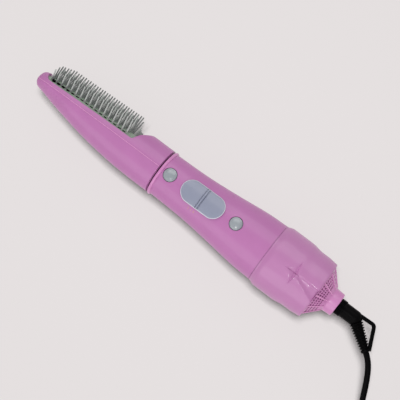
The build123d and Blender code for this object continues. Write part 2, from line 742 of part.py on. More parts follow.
def switch_body():
    """The slide switch under the grip, with the slot its knob runs in."""
    low = (SLIDER_RIB_X - SWITCH_HALF_LENGTH, -SWITCH_HALF_WIDTH, SWITCH_LOW_Z)
    body = block(low, (SLIDER_RIB_X + SWITCH_HALF_LENGTH, SWITCH_HALF_WIDTH, SWITCH_TOP_Z))
    half_width = KNOB_WIDTH / 2 + EDGE
    low_x = SLIDER_RIB_X - KNOB_LENGTH / 2 - SLIDER_STEP * SLIDER_STEPS - EDGE
    high_x = SLIDER_RIB_X + KNOB_LENGTH / 2 + EDGE
    slot_low = (low_x, -half_width, SWITCH_TOP_Z - SWITCH_SLOT_DEPTH)
    return body - block(slot_low, (high_x, half_width, SWITCH_TOP_Z + 1))


def circuit_board():
    """The board that carries the cool-shot switch and feeds the motor."""
    low = (BOARD_FRONT_X, -BOARD_HALF_WIDTH, BOARD_LOW_Z)
    return block(low, (BOARD_REAR_X, BOARD_HALF_WIDTH, BOARD_TOP_Z))


def board_diodes():
    """The four rectifier diodes under the board."""
    spread = BOARD_HALF_WIDTH / 2
    middle = (BOARD_FRONT_X + BOARD_REAR_X) / 2
    diodes = []
    for x in (middle - spread, middle + spread):
        for y in (-spread, spread):
            low = (x - DIODE_HALF_LENGTH, y - DIODE_HALF_WIDTH, BOARD_LOW_Z - DIODE_HEIGHT)
            diodes.append(block(low, (x + DIODE_HALF_LENGTH, y + DIODE_HALF_WIDTH, BOARD_LOW_Z)))
    return Compound(children=diodes)


def cool_switch():
    """The small press switch under the cool-shot button."""
    low = (COOL_X - COOL_SWITCH_FRONT, -LEAF_WIDTH, BOARD_TOP_Z)
    return block(low, (COOL_X + COOL_SWITCH_REAR, LEAF_WIDTH, COOL_SWITCH_TOP_Z))


# Heater


def mica_tube():
    """The thin mica lining round the heater."""
    return tube(MICA_FRONT_X, MICA_REAR_X, MICA_RADIUS, MICA_RADIUS - MICA_WALL)


def heater_coil():
    """The resistance wire, wound from edge to edge of the crossed cards."""
    corners = []
    for quarter in range(4 * WIRE_TURNS + 1):
        angle = math.radians(90 * quarter)
        x = WIRE_FRONT_X + WIRE_PITCH * quarter / 4
        corners.append((x, WIRE_CORNER_RADIUS * math.cos(angle), WIRE_CORNER_RADIUS * math.sin(angle)))
    path = Polyline(*corners)
    section = Plane(path @ 0, z_dir=path % 0) * Rectangle(WIRE_SIZE, WIRE_SIZE)
    return sweep(section, path=path, transition=Transition.RIGHT)


def heater_cards(wire):
    """The two crossed mica cards, notched for the wire."""
    half = CARD_THICKNESS / 2
    reach = MICA_RADIUS - MICA_WALL - half / 10
    flat = block((CARD_FRONT_X, -reach, -half), (CARD_REAR_X, reach, half))
    tall = block((CARD_FRONT_X, -half, -reach), (CARD_REAR_X, half, reach))
    return flat + tall - wire


def thermostat():
    """The cut-out thermostat that sits on the flat card behind the winding."""
    half = CARD_THICKNESS / 2
    low = (THERMOSTAT_X[0], THERMOSTAT_Y[0], half)
    return block(low, (THERMOSTAT_X[1], THERMOSTAT_Y[1], half + THERMOSTAT_HEIGHT))


def thermal_fuse():
    """The one-shot thermal fuse beside the thermostat."""
    centre = Pos(FUSE_X, FUSE_Y, CARD_THICKNESS / 2 + FUSE_RADIUS)
    return centre * Rot(0, 90, 0) * Cylinder(FUSE_RADIUS, FUSE_LENGTH)


# Motor and fan


def motor():
    """The motor's can, with the boss its shaft leaves by."""
    rear_x = MOTOR_FRONT_X + MOTOR_LENGTH
    can = chamfer(rod(MOTOR_FRONT_X, rear_x, MOTOR_RADIUS).edges(), EDGE * 2)
    boss = rod(rear_x, rear_x + MOTOR_BOSS_LENGTH, MOTOR_BOSS_RADIUS)
    return can + boss - rod(rear_x - MOTOR_LENGTH / 3, rear_x + 5, SHAFT_RADIUS + SHAFT_GAP)


def motor_mount():
    """The ring that holds the motor on straightening vanes in the airway."""
    outer = COUPLING_RADIUS - GRIP_WALL
    front_x = GRIP_END_X - COUPLING_STEP
    rear_x = GRIP_END_X + COUPLING_LENGTH
    mount = tube(front_x, rear_x, outer, outer - MOUNT_WALL)
    mount = mount + tube(front_x - MOUNT_LEAD, rear_x, MOTOR_RADIUS + MOUNT_WALL, MOTOR_RADIUS)
    vane = block((front_x, -MOUNT_WALL / 3, MOTOR_RADIUS + EDGE), (rear_x, MOUNT_WALL / 3, outer - EDGE))
    for copy in about_axis(vane, MOUNT_VANES):
        mount = mount + copy
    return mount


def fan_shaft():
    """The steel shaft that joins motor and fan."""
    rear_x = MOTOR_FRONT_X + MOTOR_LENGTH
    return rod(rear_x - MOTOR_LENGTH / 3 + 1, FAN_FRONT_X + FAN_LENGTH - 1, SHAFT_RADIUS)


def fan():
    """The axial fan: a hub with pitched blades."""
    end_x = FAN_FRONT_X + FAN_LENGTH
    wheel = fillet(rod(FAN_FRONT_X, end_x, FAN_HUB_RADIUS).edges().sort_by(Axis.X)[-1], FAN_NOSE)
    span = FAN_RADIUS - FAN_HUB_RADIUS + 1
    place = Pos(FAN_FRONT_X + FAN_LENGTH / 2, 0, FAN_RADIUS - span / 2) * Rot(0, 0, FAN_PITCH_ANGLE)
    for copy in about_axis(place * Box(BLADE_LENGTH, BLADE_THICKNESS, span), FAN_BLADES):
        wheel = wheel + copy
    wheel = wheel & rod(FAN_FRONT_X - 1, end_x + 1, FAN_RADIUS)
    return wheel - rod(FAN_FRONT_X - 1, end_x - 1, SHAFT_RADIUS)


# Rear housing and grille


def crease_cutter():
    """The V-edged wheel that pinches the housing at the head of a flute."""
    apex = CREASE_FLOOR + CREASE_REACH
    rim = apex + CREASE_RISE
    outline = Polyline((-CREASE_HALF_WIDTH, rim), (0, apex), (CREASE_HALF_WIDTH, rim), close=True)
    wheel = revolve(make_face(outline), Axis.X, FULL_CIRCLE)
    return Pos(FLUTE_START_X, 0, -CREASE_REACH) * wheel


def flute_cutter():
    """The widening flute that runs from the pinch to the housing's rear edge."""
    start = Plane((FLUTE_START_X, 0, FLUTE_START_Z), x_dir=(0, 1, 0), z_dir=(1, 0, 0))
    end_x = HOUSING_END_X + 1
    centre_z = HOUSING_END_RADIUS - FLUTE_DEPTH + FLUTE_END_RADIUS
    end = Plane((end_x, 0, centre_z), x_dir=(0, 1, 0), z_dir=(1, 0, 0))
    return loft([start * Circle(EDGE), end * Circle(FLUTE_END_RADIUS)], ruled=True)


def rear_housing():
    """The wide rear barrel that slides over the grip's coupling."""
    start_x = GRIP_END_X + SEAM
    grille_bore = CONE_RADIUS + EDGE
    outer = FilletPolyline(
        (start_x, HOUSING_LIP_RADIUS),
        (start_x + HOUSING_LIP_LENGTH, HOUSING_LIP_RADIUS + HOUSING_LIP_RISE),
        (HOUSING_SHOULDER_X, HOUSING_RADIUS),
        (HOUSING_WAIST_X, HOUSING_RADIUS),
        (HOUSING_WAIST_END_X, HOUSING_REAR_RADIUS),
        (HOUSING_REAR_X, HOUSING_REAR_RADIUS),
        (HOUSING_END_X, HOUSING_END_RADIUS),
        (HOUSING_END_X, grille_bore),
        radius=HOUSING_ROUNDING,
    )
    wide = HOUSING_RADIUS - HOUSING_WALL
    coupling_x = GRIP_END_X + COUPLING_LENGTH
    inner = Polyline(
        outer @ 1,
        (HOUSING_STEP_END_X, grille_bore),
        (HOUSING_STEP_X, wide),
        (coupling_x + HOUSING_RELIEF[1], wide),
        (coupling_x + HOUSING_RELIEF[0], COUPLING_RADIUS),
        (start_x, COUPLING_RADIUS),
        outer @ 0,
    )
    housing = turned([outer, inner])
    for copy in about_axis(flute_cutter(), FLUTE_COUNT, HOUSING_TURN):
        housing = housing - copy
    for copy in about_axis(crease_cutter(), FLUTE_COUNT, HOUSING_TURN):
        housing = housing - copy
    return housing


def cone_slope():
    """Angle of the intake cone's side from the handle's axis."""
    return math.atan2(CONE_RADIUS - NECK_RADIUS, CONE_END_X - HOUSING_END_X)


def cone_plane(x, radius):
    """A plane on the intake cone, with its Z axis out of the cone's side."""
    slope = cone_slope()
    down = (math.cos(slope), 0, -math.sin(slope))
    return Plane((x, 0, radius), x_dir=down, z_dir=(math.sin(slope), 0, math.cos(slope)))


def grille_slots():
    """The openings of the intake grille, in rings that narrow towards the neck."""
    slope = cone_slope()
    slots = []
    for ring in range(GRILLE_RINGS):
        along = GRILLE_FIRST_RING + ring * GRILLE_RING_PITCH
        radius = CONE_RADIUS - along * math.sin(slope)
        x = HOUSING_END_X + along * math.cos(slope)
        pitch = (2 * math.pi * radius / GRILLE_SECTORS - GRILLE_RIB) / GRILLE_COLUMNS
        slot = cone_plane(x, radius) * Box(GRILLE_SLOT_LENGTH, pitch - GRILLE_BAR, GRILLE_SLOT_DEPTH)
        for column in range(GRILLE_COLUMNS):
            step = math.degrees(pitch / radius) * (column - (GRILLE_COLUMNS - 1) / 2)
            slots += about_axis(slot, GRILLE_SECTORS, step + HOUSING_TURN)
    return slots


def rear_grille():
    """The removable intake cone with its slots, and the neck that holds the cord swivel."""
    slope = cone_slope()
    back = GRILLE_WALL / math.sin(slope)
    bore = NECK_END_RADIUS - GRILLE_WALL + NECK_PLAY
    spigot_bore = CONE_RADIUS - GRILLE_SPIGOT_WALL
    run = 1 / math.tan(slope)
    grille = turned([
        Polyline(
            (GRILLE_SPIGOT_X, CONE_RADIUS + EDGE),
            (HOUSING_END_X, CONE_RADIUS + EDGE),
            (HOUSING_END_X, CONE_RADIUS),
            (CONE_END_X, NECK_RADIUS),
            (NECK_END_X - NECK_EDGE, NECK_END_RADIUS),
            (NECK_END_X, NECK_END_RADIUS - NECK_EDGE),
            (NECK_END_X, bore),
            (CONE_END_X + (NECK_RADIUS - bore) * run - back, bore),
            (HOUSING_END_X + (CONE_RADIUS - spigot_bore) * run - back, spigot_bore),
            (GRILLE_SPIGOT_X, spigot_bore),
            close=True,
        )
    ])
    grille = grille - grille_slots()
    length = (CONE_END_X - HOUSING_END_X) / math.cos(slope)
    middle = cone_plane((HOUSING_END_X + CONE_END_X) / 2, (CONE_RADIUS + NECK_RADIUS) / 2)
    rib = middle * Box(length - 1, GRILLE_RIB / 2, 2 * GRILLE_RAISED)
    return grille + about_axis(rib, GRILLE_SECTORS, HOUSING_TURN + FULL_CIRCLE / GRILLE_SECTORS / 2)


# Swivel, strain relief and hanging loop


def swivel_socket():
    """The fixed socket in the neck that the cord's swivel turns in."""
    outer = NECK_END_RADIUS - GRILLE_WALL + NECK_PLAY
    front_x = SWIVEL_FRONT_X - SOCKET_FLOOR
    cup = tube(front_x, NECK_END_X - SOCKET_SUNK, outer, SWIVEL_RADIUS + SWIVEL_GAP)
    return cup + tube(front_x, SWIVEL_FRONT_X - 1, outer, SWIVEL_RADIUS / 2)


def slip_rings():
    """The two brass rings on the spindle that carry the current."""
    rings = []
    for start in SLIP_RING_X:
        rings.append(tube(start, start + SLIP_RING_LENGTH, SWIVEL_RADIUS, SWIVEL_RADIUS - 1))
    return Compound(children=rings)


def swivel_collar():
    """The spindle and collar that turn with the cord."""
    start_x = NECK_END_X + SWIVEL_FACE_GAP
    spindle = rod(SWIVEL_FRONT_X, start_x, SWIVEL_RADIUS)
    collar = chamfer(rod(start_x, start_x + COLLAR_LENGTH, COLLAR_RADIUS).edges(), EDGE)
    return spindle + collar - slip_rings()


RELIEF_START_X = NECK_END_X + SWIVEL_FACE_GAP + COLLAR_LENGTH
BEND_X = RELIEF_START_X + RELIEF_STRAIGHT


def relief_radius(along):
    """Radius of the ribbed part's envelope, some way along it."""
    return between(along, (0, RELIEF_ROOT_RADIUS), (RELIEF_LENGTH, RELIEF_END_RADIUS))


def strain_relief():
    """The rubber strain relief: a plain sleeve, a knuckle, and a ribbed taper bent to one side."""
    points = [(0, 0), (0, relief_radius(0))]
    for rib in range(RELIEF_RIBS):
        start = RELIEF_RIB_START + rib * RELIEF_RIB_PITCH
        crest = start + RELIEF_RIB_PITCH * RELIEF_RIB_SHARE
        points += [(start, relief_radius(start)), (start + EDGE, relief_radius(start) - RELIEF_GROOVE)]
        points += [(crest, relief_radius(crest) - RELIEF_GROOVE), (crest + EDGE, relief_radius(crest))]
    end = relief_radius(RELIEF_LENGTH)
    points += [(RELIEF_LENGTH - EDGE, end), (RELIEF_LENGTH, end - EDGE), (RELIEF_LENGTH, 0)]
    taper = revolve(make_face(Polyline(*points, close=True)), Axis.X, FULL_CIRCLE)
    taper = Pos(BEND_X, 0, 0) * Rot(0, 0, -RELIEF_BEND) * taper
    sleeve = rod(RELIEF_START_X, BEND_X, RELIEF_RADIUS)
    knuckle = Pos(BEND_X, 0, 0) * Sphere(RELIEF_RADIUS - EDGE / 4)
    return sleeve + knuckle + taper


def hang_loop(relief):
    """The strap that bridges the outside of the bend, to hang the tool by."""
    path = FilletPolyline(*LOOP_POINTS, radius=LOOP_ROUNDING)
    outline = RectangleRounded(LOOP_WIDTH, LOOP_THICKNESS, LOOP_EDGE)
    section = Plane(path @ 0, x_dir=(0, 0, 1), z_dir=path % 0) * outline
    strap = sweep(section, path=path) - relief - rod(RELIEF_START_X, BEND_X, RELIEF_RADIUS)
    return strap.solids().sort_by(SortBy.VOLUME)[-1]


# Cord and plug, on the table


def tangent_biarc(start, start_way, end, end_way):
    """Two arcs that join smoothly and leave and arrive in the given directions."""
    across = end - start
    ways = start_way + end_way
    square = 2 * (1 - start_way.dot(end_way))
    reach = (-across.dot(ways) + math.sqrt(across.dot(ways) ** 2 + square * across.dot(across))) / square
    joint = (start + end + (start_way - end_way) * reach) * 0.5
    chord = (end - joint).normalized()
    joint_way = chord * (2 * chord.dot(end_way)) - end_way
    return [Edge.make_tangent_arc(start, start_way, joint), Edge.make_tangent_arc(joint, joint_way, end)]


def coil_place(quarter):
    """Radius, height and radial trend of the coil's centre line after some quarter turns."""
    outer = COIL_INNER_RADIUS + COIL_STEP * COIL_QUARTERS / 4
    layer = min(quarter // COIL_QUARTERS, COIL_LAYERS - 1)
    into = quarter - layer * COIL_QUARTERS
    inward = layer % 2 == 0
    radius = outer - COIL_STEP * into / 4 if inward else COIL_INNER_RADIUS + COIL_STEP * into / 4
    at_turn = into in (0, COIL_QUARTERS)
    trend = 0.0 if at_turn else (-COIL_STEP if inward else COIL_STEP) / (2 * math.pi)
    climbing = into == 0 and 0 < layer
    height = CORD_DIAMETER / 2 + COIL_STEP * (layer - (0.5 if climbing else 0.0))
    slope = COIL_STEP / math.pi * 1.5 if climbing else 0.0
    return radius, height, trend, slope


def coil_point(quarter):
    """Point and direction of the coil's centre line after some quarter turns."""
    radius, height, trend, slope = coil_place(quarter)
    angle = math.radians(90 * quarter - 90)
    radial = Vector(math.cos(angle), math.sin(angle), 0)
    around = Vector(-math.sin(angle), math.cos(angle), 0)
    point = Vector(*COIL_CENTRE, height) + radial * radius
    return point, (around * radius + radial * trend + Vector(0, 0, slope)).normalized()


def cord_coil():
    """The put-away length of cord, wound in layers that spiral in and out."""
    last = COIL_LAYERS * COIL_QUARTERS
    points = [coil_point(quarter) for quarter in range(last + 1)]
    ahead = CORD_DIAMETER
    first_point, first_way = points[0]
    last_point, last_way = points[-1]
    edges = [Edge.make_line(first_point - first_way * ahead, first_point)]
    for (start, start_way), (end, end_way) in zip(points, points[1:]):
        edges += tangent_biarc(start, start_way, end, end_way)
    edges.append(Edge.make_line(last_point, last_point + last_way * ahead))
    path = Wire(edges)
    turn = FULL_CIRCLE / CORD_SIDES / 2
    outline = RegularPolygon(CORD_DIAMETER / 2, CORD_SIDES, major_radius=False, rotation=turn)
    section = Plane(path @ 0, x_dir=(0, 0, 1), z_dir=path % 0) * outline
    report_coil(edges)
    return sweep(section, path=path)


def report_coil(edges):
    """Print the coil's length and its least gap to itself, measured on points of the centre line."""
    samples = []
    run = 0.0
    for edge in edges:
        for share in (0.0, 0.2, 0.4, 0.6, 0.8):
            samples.append((run + edge.length * share, edge.position_at(share)))
        run += edge.length
    apart = 4 * CORD_DIAMETER
    gaps = [(p - q).length for a, p in samples for b, q in samples if b - a > apart]
    print("coil length", round(run, 1), "least gap to itself", round(min(gaps) - CORD_DIAMETER, 2))


def cord_tube(name, points, diameter):
    """A round tube along hand-chosen points, with each arc as large as its two runs allow."""
    places = [Vector(*point) for point in points]
    radii = []
    for before, corner, after in zip(places, places[1:], places[2:]):
        run = min((corner - before).length, (after - corner).length)
        turn = math.radians((corner - before).get_angle(after - corner))
        radii.append(CORD_BEND_SHARE * run / math.tan(turn / 2))
    path = FilletPolyline(*places, radius=radii)
    tube_solid = sweep(Plane(path @ 0, z_dir=path % 0) * Circle(diameter / 2), path=path)
    expected = math.pi * diameter**2 / 4 * path.length
    print(name, "length", round(path.length, 1), "radii", [round(r, 1) for r in radii])
    print(name, "volume", round(tube_solid.volume, 1), "section times length", round(expected, 1))
    return tube_solid


def plug_body():
    """The moulded two-pin plug: a ribbed tail, a shoulder and a rounded body."""
    shoulder_x = PLUG_RELIEF_LENGTH + PLUG_SHOULDER_LENGTH
    face_x = shoulder_x + PLUG_BODY_LENGTH
    tail_points = [(0, 0), (0, PLUG_RIB_RADIUS - PLUG_RIB_GROWTH)]
    for rib in range(PLUG_RIBS):
        start = PLUG_RIB_START + rib * PLUG_RIB_PITCH
        end = start + PLUG_GROOVE_LENGTH
        crest = PLUG_RIB_RADIUS + PLUG_RIB_GROWTH * rib
        tail_points += [(start, crest), (start, PLUG_GROOVE_RADIUS)]
        tail_points += [(end, PLUG_GROOVE_RADIUS), (end, crest)]
    tail_points += [(PLUG_RELIEF_LENGTH, PLUG_RELIEF_RADIUS), (PLUG_RELIEF_LENGTH, 0)]
    tail = revolve(make_face(Polyline(*tail_points, close=True)), Axis.X, FULL_CIRCLE)
    round_end = PLUG_HEIGHT / 2 - EDGE
    tail_end = Plane.YZ.offset(PLUG_RELIEF_LENGTH) * RectangleRounded(*PLUG_NECK, PLUG_NECK[1] / 2 - EDGE)
    shoulder = Plane.YZ.offset(shoulder_x) * RectangleRounded(PLUG_WIDTH, PLUG_HEIGHT, round_end)
    body = loft([tail_end, shoulder]) + extrude(shoulder, amount=PLUG_BODY_LENGTH, dir=(1, 0, 0))
    body = fillet(body.faces().sort_by(Axis.X)[-1].edges(), PLUG_EDGE)
    sockets = [Pos(0, y, 0) * rod(face_x - PIN_ROOT_LENGTH, face_x, PIN_ROOT_RADIUS) for y in PIN_SIDES]
    return Pos(*PLUG_START) * (tail + body - sockets)


def plug_pins():
    """The plug's two round pins, each on a thinner root inside the plug."""
    face_x = PLUG_RELIEF_LENGTH + PLUG_SHOULDER_LENGTH + PLUG_BODY_LENGTH
    pin = rod(face_x, face_x + PIN_LENGTH, PIN_RADIUS)
    pin = fillet(pin.edges().sort_by(Axis.X)[-1], PIN_TIP_RADIUS)
    pin = pin + rod(face_x - PIN_ROOT_LENGTH, face_x, PIN_ROOT_RADIUS)
    return Pos(*PLUG_START) * Compound(children=[Pos(0, y, 0) * pin for y in PIN_SIDES])


# Assembly


def tool_nodes():
    """Every piece of the tool itself, in the tool's own frame."""
    back, front = head_shells()
    upper, lower = handle_shells()
    wire = heater_coil()
    relief = strain_relief()
    return {
        "head_back_shell": back,
        "head_front_shell": front,
        "bristle_insert": bristle_insert(),
        "head_socket": head_socket(),
        "handle_upper_shell": upper,
        "handle_lower_shell": lower,
        "shell_screws": shell_screws(),
        "front_ring": front_ring(),
        "outlet_spigot": outlet_spigot(),
        "release_button": release_button(),
        "release_spring": release_spring(),
        "cool_button": cool_button(),
        "cool_spring": cool_spring(),
        "cool_switch": cool_switch(),
        "slider_cap": slider_cap(),
        "switch_knob": knob_block(0),
        "switch_body": switch_body(),
        "circuit_board": circuit_board(),
        "board_diodes": board_diodes(),
        "mica_tube": mica_tube(),
        "heater_cards": heater_cards(wire),
        "heater_coil": wire,
        "thermostat": thermostat(),
        "thermal_fuse": thermal_fuse(),
        "motor": motor(),
        "motor_mount": motor_mount(),
        "fan_shaft": fan_shaft(),
        "fan": fan(),
        "rear_housing": rear_housing(),
        "rear_grille": rear_grille(),
        "swivel_socket": swivel_socket(),
        "swivel_collar": swivel_collar(),
        "slip_rings": slip_rings(),
        "strain_relief": relief,
        "hang_loop": hang_loop(relief),
    }


def lay_down_angle():
    """Tilt that brings the rear housing and the lowest bristles down together."""
    outer_row = math.radians(BRISTLE_ROW_REACH)
    lean = math.radians(BRISTLE_ROW_REACH * BRISTLE_LEAN)
    root = (pad_arc(BRISTLE_LAST_X) - BRISTLE_ROOT) * math.sin(outer_row)
    reach = root + bristle_length(BRISTLE_LAST_X, BRISTLE_ROWS // 2) * math.sin(lean)
    return math.degrees(math.atan2(HOUSING_RADIUS - reach, HOUSING_WAIST_X - BRISTLE_LAST_X))


def main():
    """Build every piece, lay the tool down and write one file for each."""
    os.makedirs("parts", exist_ok=True)
    tilt = Rot(0, -lay_down_angle(), 0)
    tool = tool_nodes()
    box = Compound(children=[tilt * piece for piece in tool.values()]).bounding_box()
    lay_down = Pos(0, 0, -box.min.Z) * tilt
    to_origin = Pos(-box.center().X, -box.center().Y, 0)
    relief_end = Pos(BEND_X, 0, 0) * Rot(0, 0, -RELIEF_BEND) * Pos(RELIEF_LENGTH, 0, 0)
    lead = [(lay_down * relief_end * Pos(x, 0, 0)).position for x in (0, CORD_EXIT_RUN)]
    coil_start, coil_way = coil_point(0)
    coil_end, end_way = coil_point(COIL_LAYERS * COIL_QUARTERS)
    lead += [*CORD_LEAD, coil_start - coil_way * CORD_DIAMETER]
    tail = [coil_end + end_way * (CORD_DIAMETER + run) for run in (0, CORD_TAIL_RUN)]
    tail += [*CORD_TAIL, PLUG_START]
    nodes = {name: to_origin * lay_down * piece for name, piece in tool.items()}
    nodes["cord"] = to_origin * cord_tube("cord", lead, CORD_DIAMETER)
    nodes["cord_coil"] = to_origin * cord_coil()
    nodes["cord_tail"] = to_origin * cord_tube("cord_tail", tail, CORD_DIAMETER)
    nodes["plug_body"] = to_origin * plug_body()
    nodes["plug_pins"] = to_origin * plug_pins()
    for name, piece in nodes.items():
        export_step(piece, f"parts/{name}.step")
    print("tilt", round(lay_down_angle(), 4), "lift", round(-box.min.Z, 4))
    print("tool box centre", round(box.center().X, 4), round(box.center().Y, 4))


if __name__ == "__main__":
    main()
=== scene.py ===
"""Looks of the heated styling brush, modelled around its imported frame.

Every piece is modelled in the tool's own frame, in millimetres: X runs along the handle from the brush to
the cord, Y is the way the bristles point and Z is the way the buttons face. A finished piece is then laid on
the table, in metres, with the placement that the frame's cord joint gives.
"""

import json
import logging
import math
from contextlib import contextmanager
from dataclasses import dataclass, field
from enum import Enum
from typing import Callable, ClassVar, Iterator, Sequence

import bmesh
import bpy
from mathutils import Matrix, Vector


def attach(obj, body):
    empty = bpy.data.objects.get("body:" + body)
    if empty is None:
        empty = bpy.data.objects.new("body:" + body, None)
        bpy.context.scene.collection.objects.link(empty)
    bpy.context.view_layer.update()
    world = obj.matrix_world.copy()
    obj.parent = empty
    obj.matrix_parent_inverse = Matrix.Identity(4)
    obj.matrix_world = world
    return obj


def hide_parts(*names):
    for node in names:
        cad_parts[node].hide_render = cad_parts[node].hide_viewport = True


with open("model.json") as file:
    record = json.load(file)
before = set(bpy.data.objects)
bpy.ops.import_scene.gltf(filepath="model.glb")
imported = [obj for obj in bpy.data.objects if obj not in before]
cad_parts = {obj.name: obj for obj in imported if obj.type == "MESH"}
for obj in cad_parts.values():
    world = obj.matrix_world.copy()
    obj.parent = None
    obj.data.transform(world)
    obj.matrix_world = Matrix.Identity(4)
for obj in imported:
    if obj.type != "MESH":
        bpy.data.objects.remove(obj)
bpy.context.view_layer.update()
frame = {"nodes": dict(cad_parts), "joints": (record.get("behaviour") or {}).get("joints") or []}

LOG = logging.getLogger("styling_brush")
MM = 0.001
FULL_TURN = 2 * math.pi
QUARTER_TURN = math.pi / 2
MERGE_MM = 0.004
NEAR_MM = 1e-3
GRAIN_RELIEF_MM = 0.02
FACING = 0.9
SWIVEL_X = 190.0

Piece = bpy.types.Object
Socket = bpy.types.NodeSocket
Material = bpy.types.Material
Pair = tuple[float, float]
Triple = tuple[float, float, float]
Colour = tuple[int, int, int]
Outline = Sequence[Pair]


class Body(Enum):
    """The bodies that a piece can ride on."""

    HANDLE = "handle"
    HEAD = "brush_head"
    RELEASE = "release"
    COOL = "cool_shot"
    SLIDER = "power_slider"
    CORD = "cord_swivel"


# Placement


@dataclass(frozen=True)
class Placement:
    """How the tool lies on the table.

    Args:
        tilt: Angle in radians by which the handle's rear is raised.
        centre: Place along the floor, in millimetres, that is the model's origin.
        lift: Height of the tool's own origin over the floor, in millimetres.
    """

    tilt: float
    centre: float
    lift: float

    @classmethod
    def of_frame(cls, joints: Sequence[dict], swivel_x: float) -> "Placement":
        """Read the placement from the joint that the cord turns on.

        Args:
            joints: The frame's joints.
            swivel_x: Where that joint is along the tool, in millimetres.

        Returns:
            The placement of the whole tool.
        """
        turn = next(joint for joint in joints if joint["name"] == "cord_turn")
        tilt = math.atan2(turn["axis"][2], turn["axis"][0])
        x, _, z = (value / MM for value in turn["pos_m"])
        return cls(tilt, swivel_x * math.cos(tilt) - x, z - swivel_x * math.sin(tilt))

    @property
    def matrix(self) -> Matrix:
        """Matrix from the tool's frame in millimetres to the table in metres."""
        turn = Matrix.Rotation(-self.tilt, 4, "Y")
        return Matrix.Scale(MM, 4) @ Matrix.Translation((-self.centre, 0, self.lift)) @ turn

    def point(self, x: float, y: float, z: float) -> Vector:
        """A point of the tool, on the table in metres."""
        return self.matrix @ Vector((x, y, z))

    def floor_point(self, x: float, y: float, z: float) -> Vector:
        """A point of the floor plan, in metres from the model's origin."""
        return Vector((x - self.centre, y, z)) * MM


# Modelling by hand


def activate(piece: Piece) -> None:
    """Select one piece alone."""
    bpy.ops.object.select_all(action="DESELECT")
    piece.select_set(True)
    bpy.context.view_layer.objects.active = piece


@contextmanager
def editing(piece: Piece, kind: str = "VERT", action: str = "DESELECT") -> Iterator[None]:
    """Edit mode on one piece.

    Args:
        piece: The piece.
        kind: What is selected: VERT, EDGE or FACE.
        action: SELECT to start with everything selected.
    """
    activate(piece)
    bpy.ops.object.mode_set(mode="EDIT")
    bpy.ops.mesh.select_mode(type=kind)
    bpy.ops.mesh.select_all(action=action)
    yield
    bpy.ops.object.mode_set(mode="OBJECT")


def select_all() -> None:
    """Select all of the piece in edit mode."""
    bpy.ops.mesh.select_all(action="SELECT")


def extrude(x: float = 0.0, y: float = 0.0, z: float = 0.0) -> None:
    """Extrude what is selected by a step."""
    bpy.ops.mesh.extrude_region_move(TRANSFORM_OT_translate={"value": (x, y, z)})


def shift(x: float = 0.0, y: float = 0.0, z: float = 0.0) -> None:
    """Move what is selected by a step."""
    bpy.ops.transform.translate(value=(x, y, z))


def swell(x: float, y: float, z: float, about: Sequence[float]) -> None:
    """Scale what is selected about a point."""
    bpy.ops.transform.resize(value=(x, y, z), center_override=about)


def cut(axis: int, place: float, keep: str = "both", fill: bool = False) -> None:
    """Cut all of the piece across an axis, in edit mode.

    Args:
        axis: 0 for X, 1 for Y and 2 for Z.
        place: Where on that axis.
        keep: Whether both sides stay, or the one above or below.
        fill: Whether the cut is closed with a face.
    """
    select_all()
    normal = [float(axis == k) for k in range(3)]
    point = [value * place for value in normal]
    sides = {"clear_inner": keep == "above", "clear_outer": keep == "below"}
    bpy.ops.mesh.bisect(plane_co=point, plane_no=normal, use_fill=fill, **sides)


def pick(piece: Piece, parts: str, test: Callable[[object], bool]) -> None:
    """Select the verts, edges or faces that pass a test, in edit mode.

    Args:
        piece: The piece.
        parts: Which of the three.
        test: Whether a part is selected.
    """
    mesh = bmesh.from_edit_mesh(piece.data)
    for part in getattr(mesh, parts):
        part.select_set(test(part))
    mesh.select_flush_mode()
    bmesh.update_edit_mesh(piece.data)


def pick_points(piece: Piece, test: Callable[[Vector], bool]) -> None:
    """Select the points whose place passes a test, in edit mode."""
    pick(piece, "verts", lambda point: test(point.co))


def pick_faces(piece: Piece, test: Callable[[Vector, Vector], bool]) -> None:
    """Select the faces whose middle and normal pass a test, in edit mode."""
    pick(piece, "faces", lambda face: test(face.calc_center_median(), face.normal))


def drop_faces(piece: Piece, test: Callable[[Vector, Vector], bool]) -> None:
    """Delete the faces whose middle and normal pass a test, in edit mode."""
    pick_faces(piece, test)
    bpy.ops.mesh.delete(type="FACE")


def draw_out(sections: Sequence[Triple], start: Triple) -> None:
    """Extrude what is selected along X, section by section.

    Args:
        sections: Each section's place on X, and its size along Y and along Z.
        start: The same three of what is selected.
    """
    for x, tall, wide in sections:
        extrude(x - start[0])
        swell(1, tall / start[1], wide / start[2], (x, 0, 0))
        start = (x, tall, wide)


def placed(name: str, data: bpy.types.ID) -> Piece:
    """A new object of the scene that shows the data."""
    piece = bpy.data.objects.new(name, data)
    bpy.context.scene.collection.objects.link(piece)
    return piece


def made(name: str) -> Piece:
    """Name the primitive that was just added and apply its place.

    Args:
        name: Its name.

    Returns:
        The piece.
    """
    piece = bpy.context.object
    piece.name = name
    activate(piece)
    bpy.ops.object.transform_apply(location=True, rotation=True, scale=True)
    return piece


def modify(piece: Piece, kind: str, **settings: object) -> None:
    """Add one modifier to a piece and apply it.

    Args:
        piece: The piece.
        kind: Blender's name for the modifier.
        settings: The modifier's settings.
    """
    modifier = piece.modifiers.new(kind.lower(), kind)
    for name, value in settings.items():
        setattr(modifier, name, value)
    activate(piece)
    bpy.ops.object.modifier_apply(modifier=modifier.name)


def combine(piece: Piece, tool: Piece, operation: str = "DIFFERENCE") -> None:
    """Cut a piece with a tool, or join or cross the two, and remove the tool."""
    modify(piece, "BOOLEAN", object=tool, operation=operation, solver="EXACT")
    bpy.data.objects.remove(tool)


def round_edges(piece: Piece, width: float, segments: int = 2, degrees: float = 35.0) -> None:
    """Round the edges that are sharper than an angle."""
    angle = math.radians(degrees)
    modify(piece, "BEVEL", width=width, segments=segments, limit_method="ANGLE", angle_limit=angle)


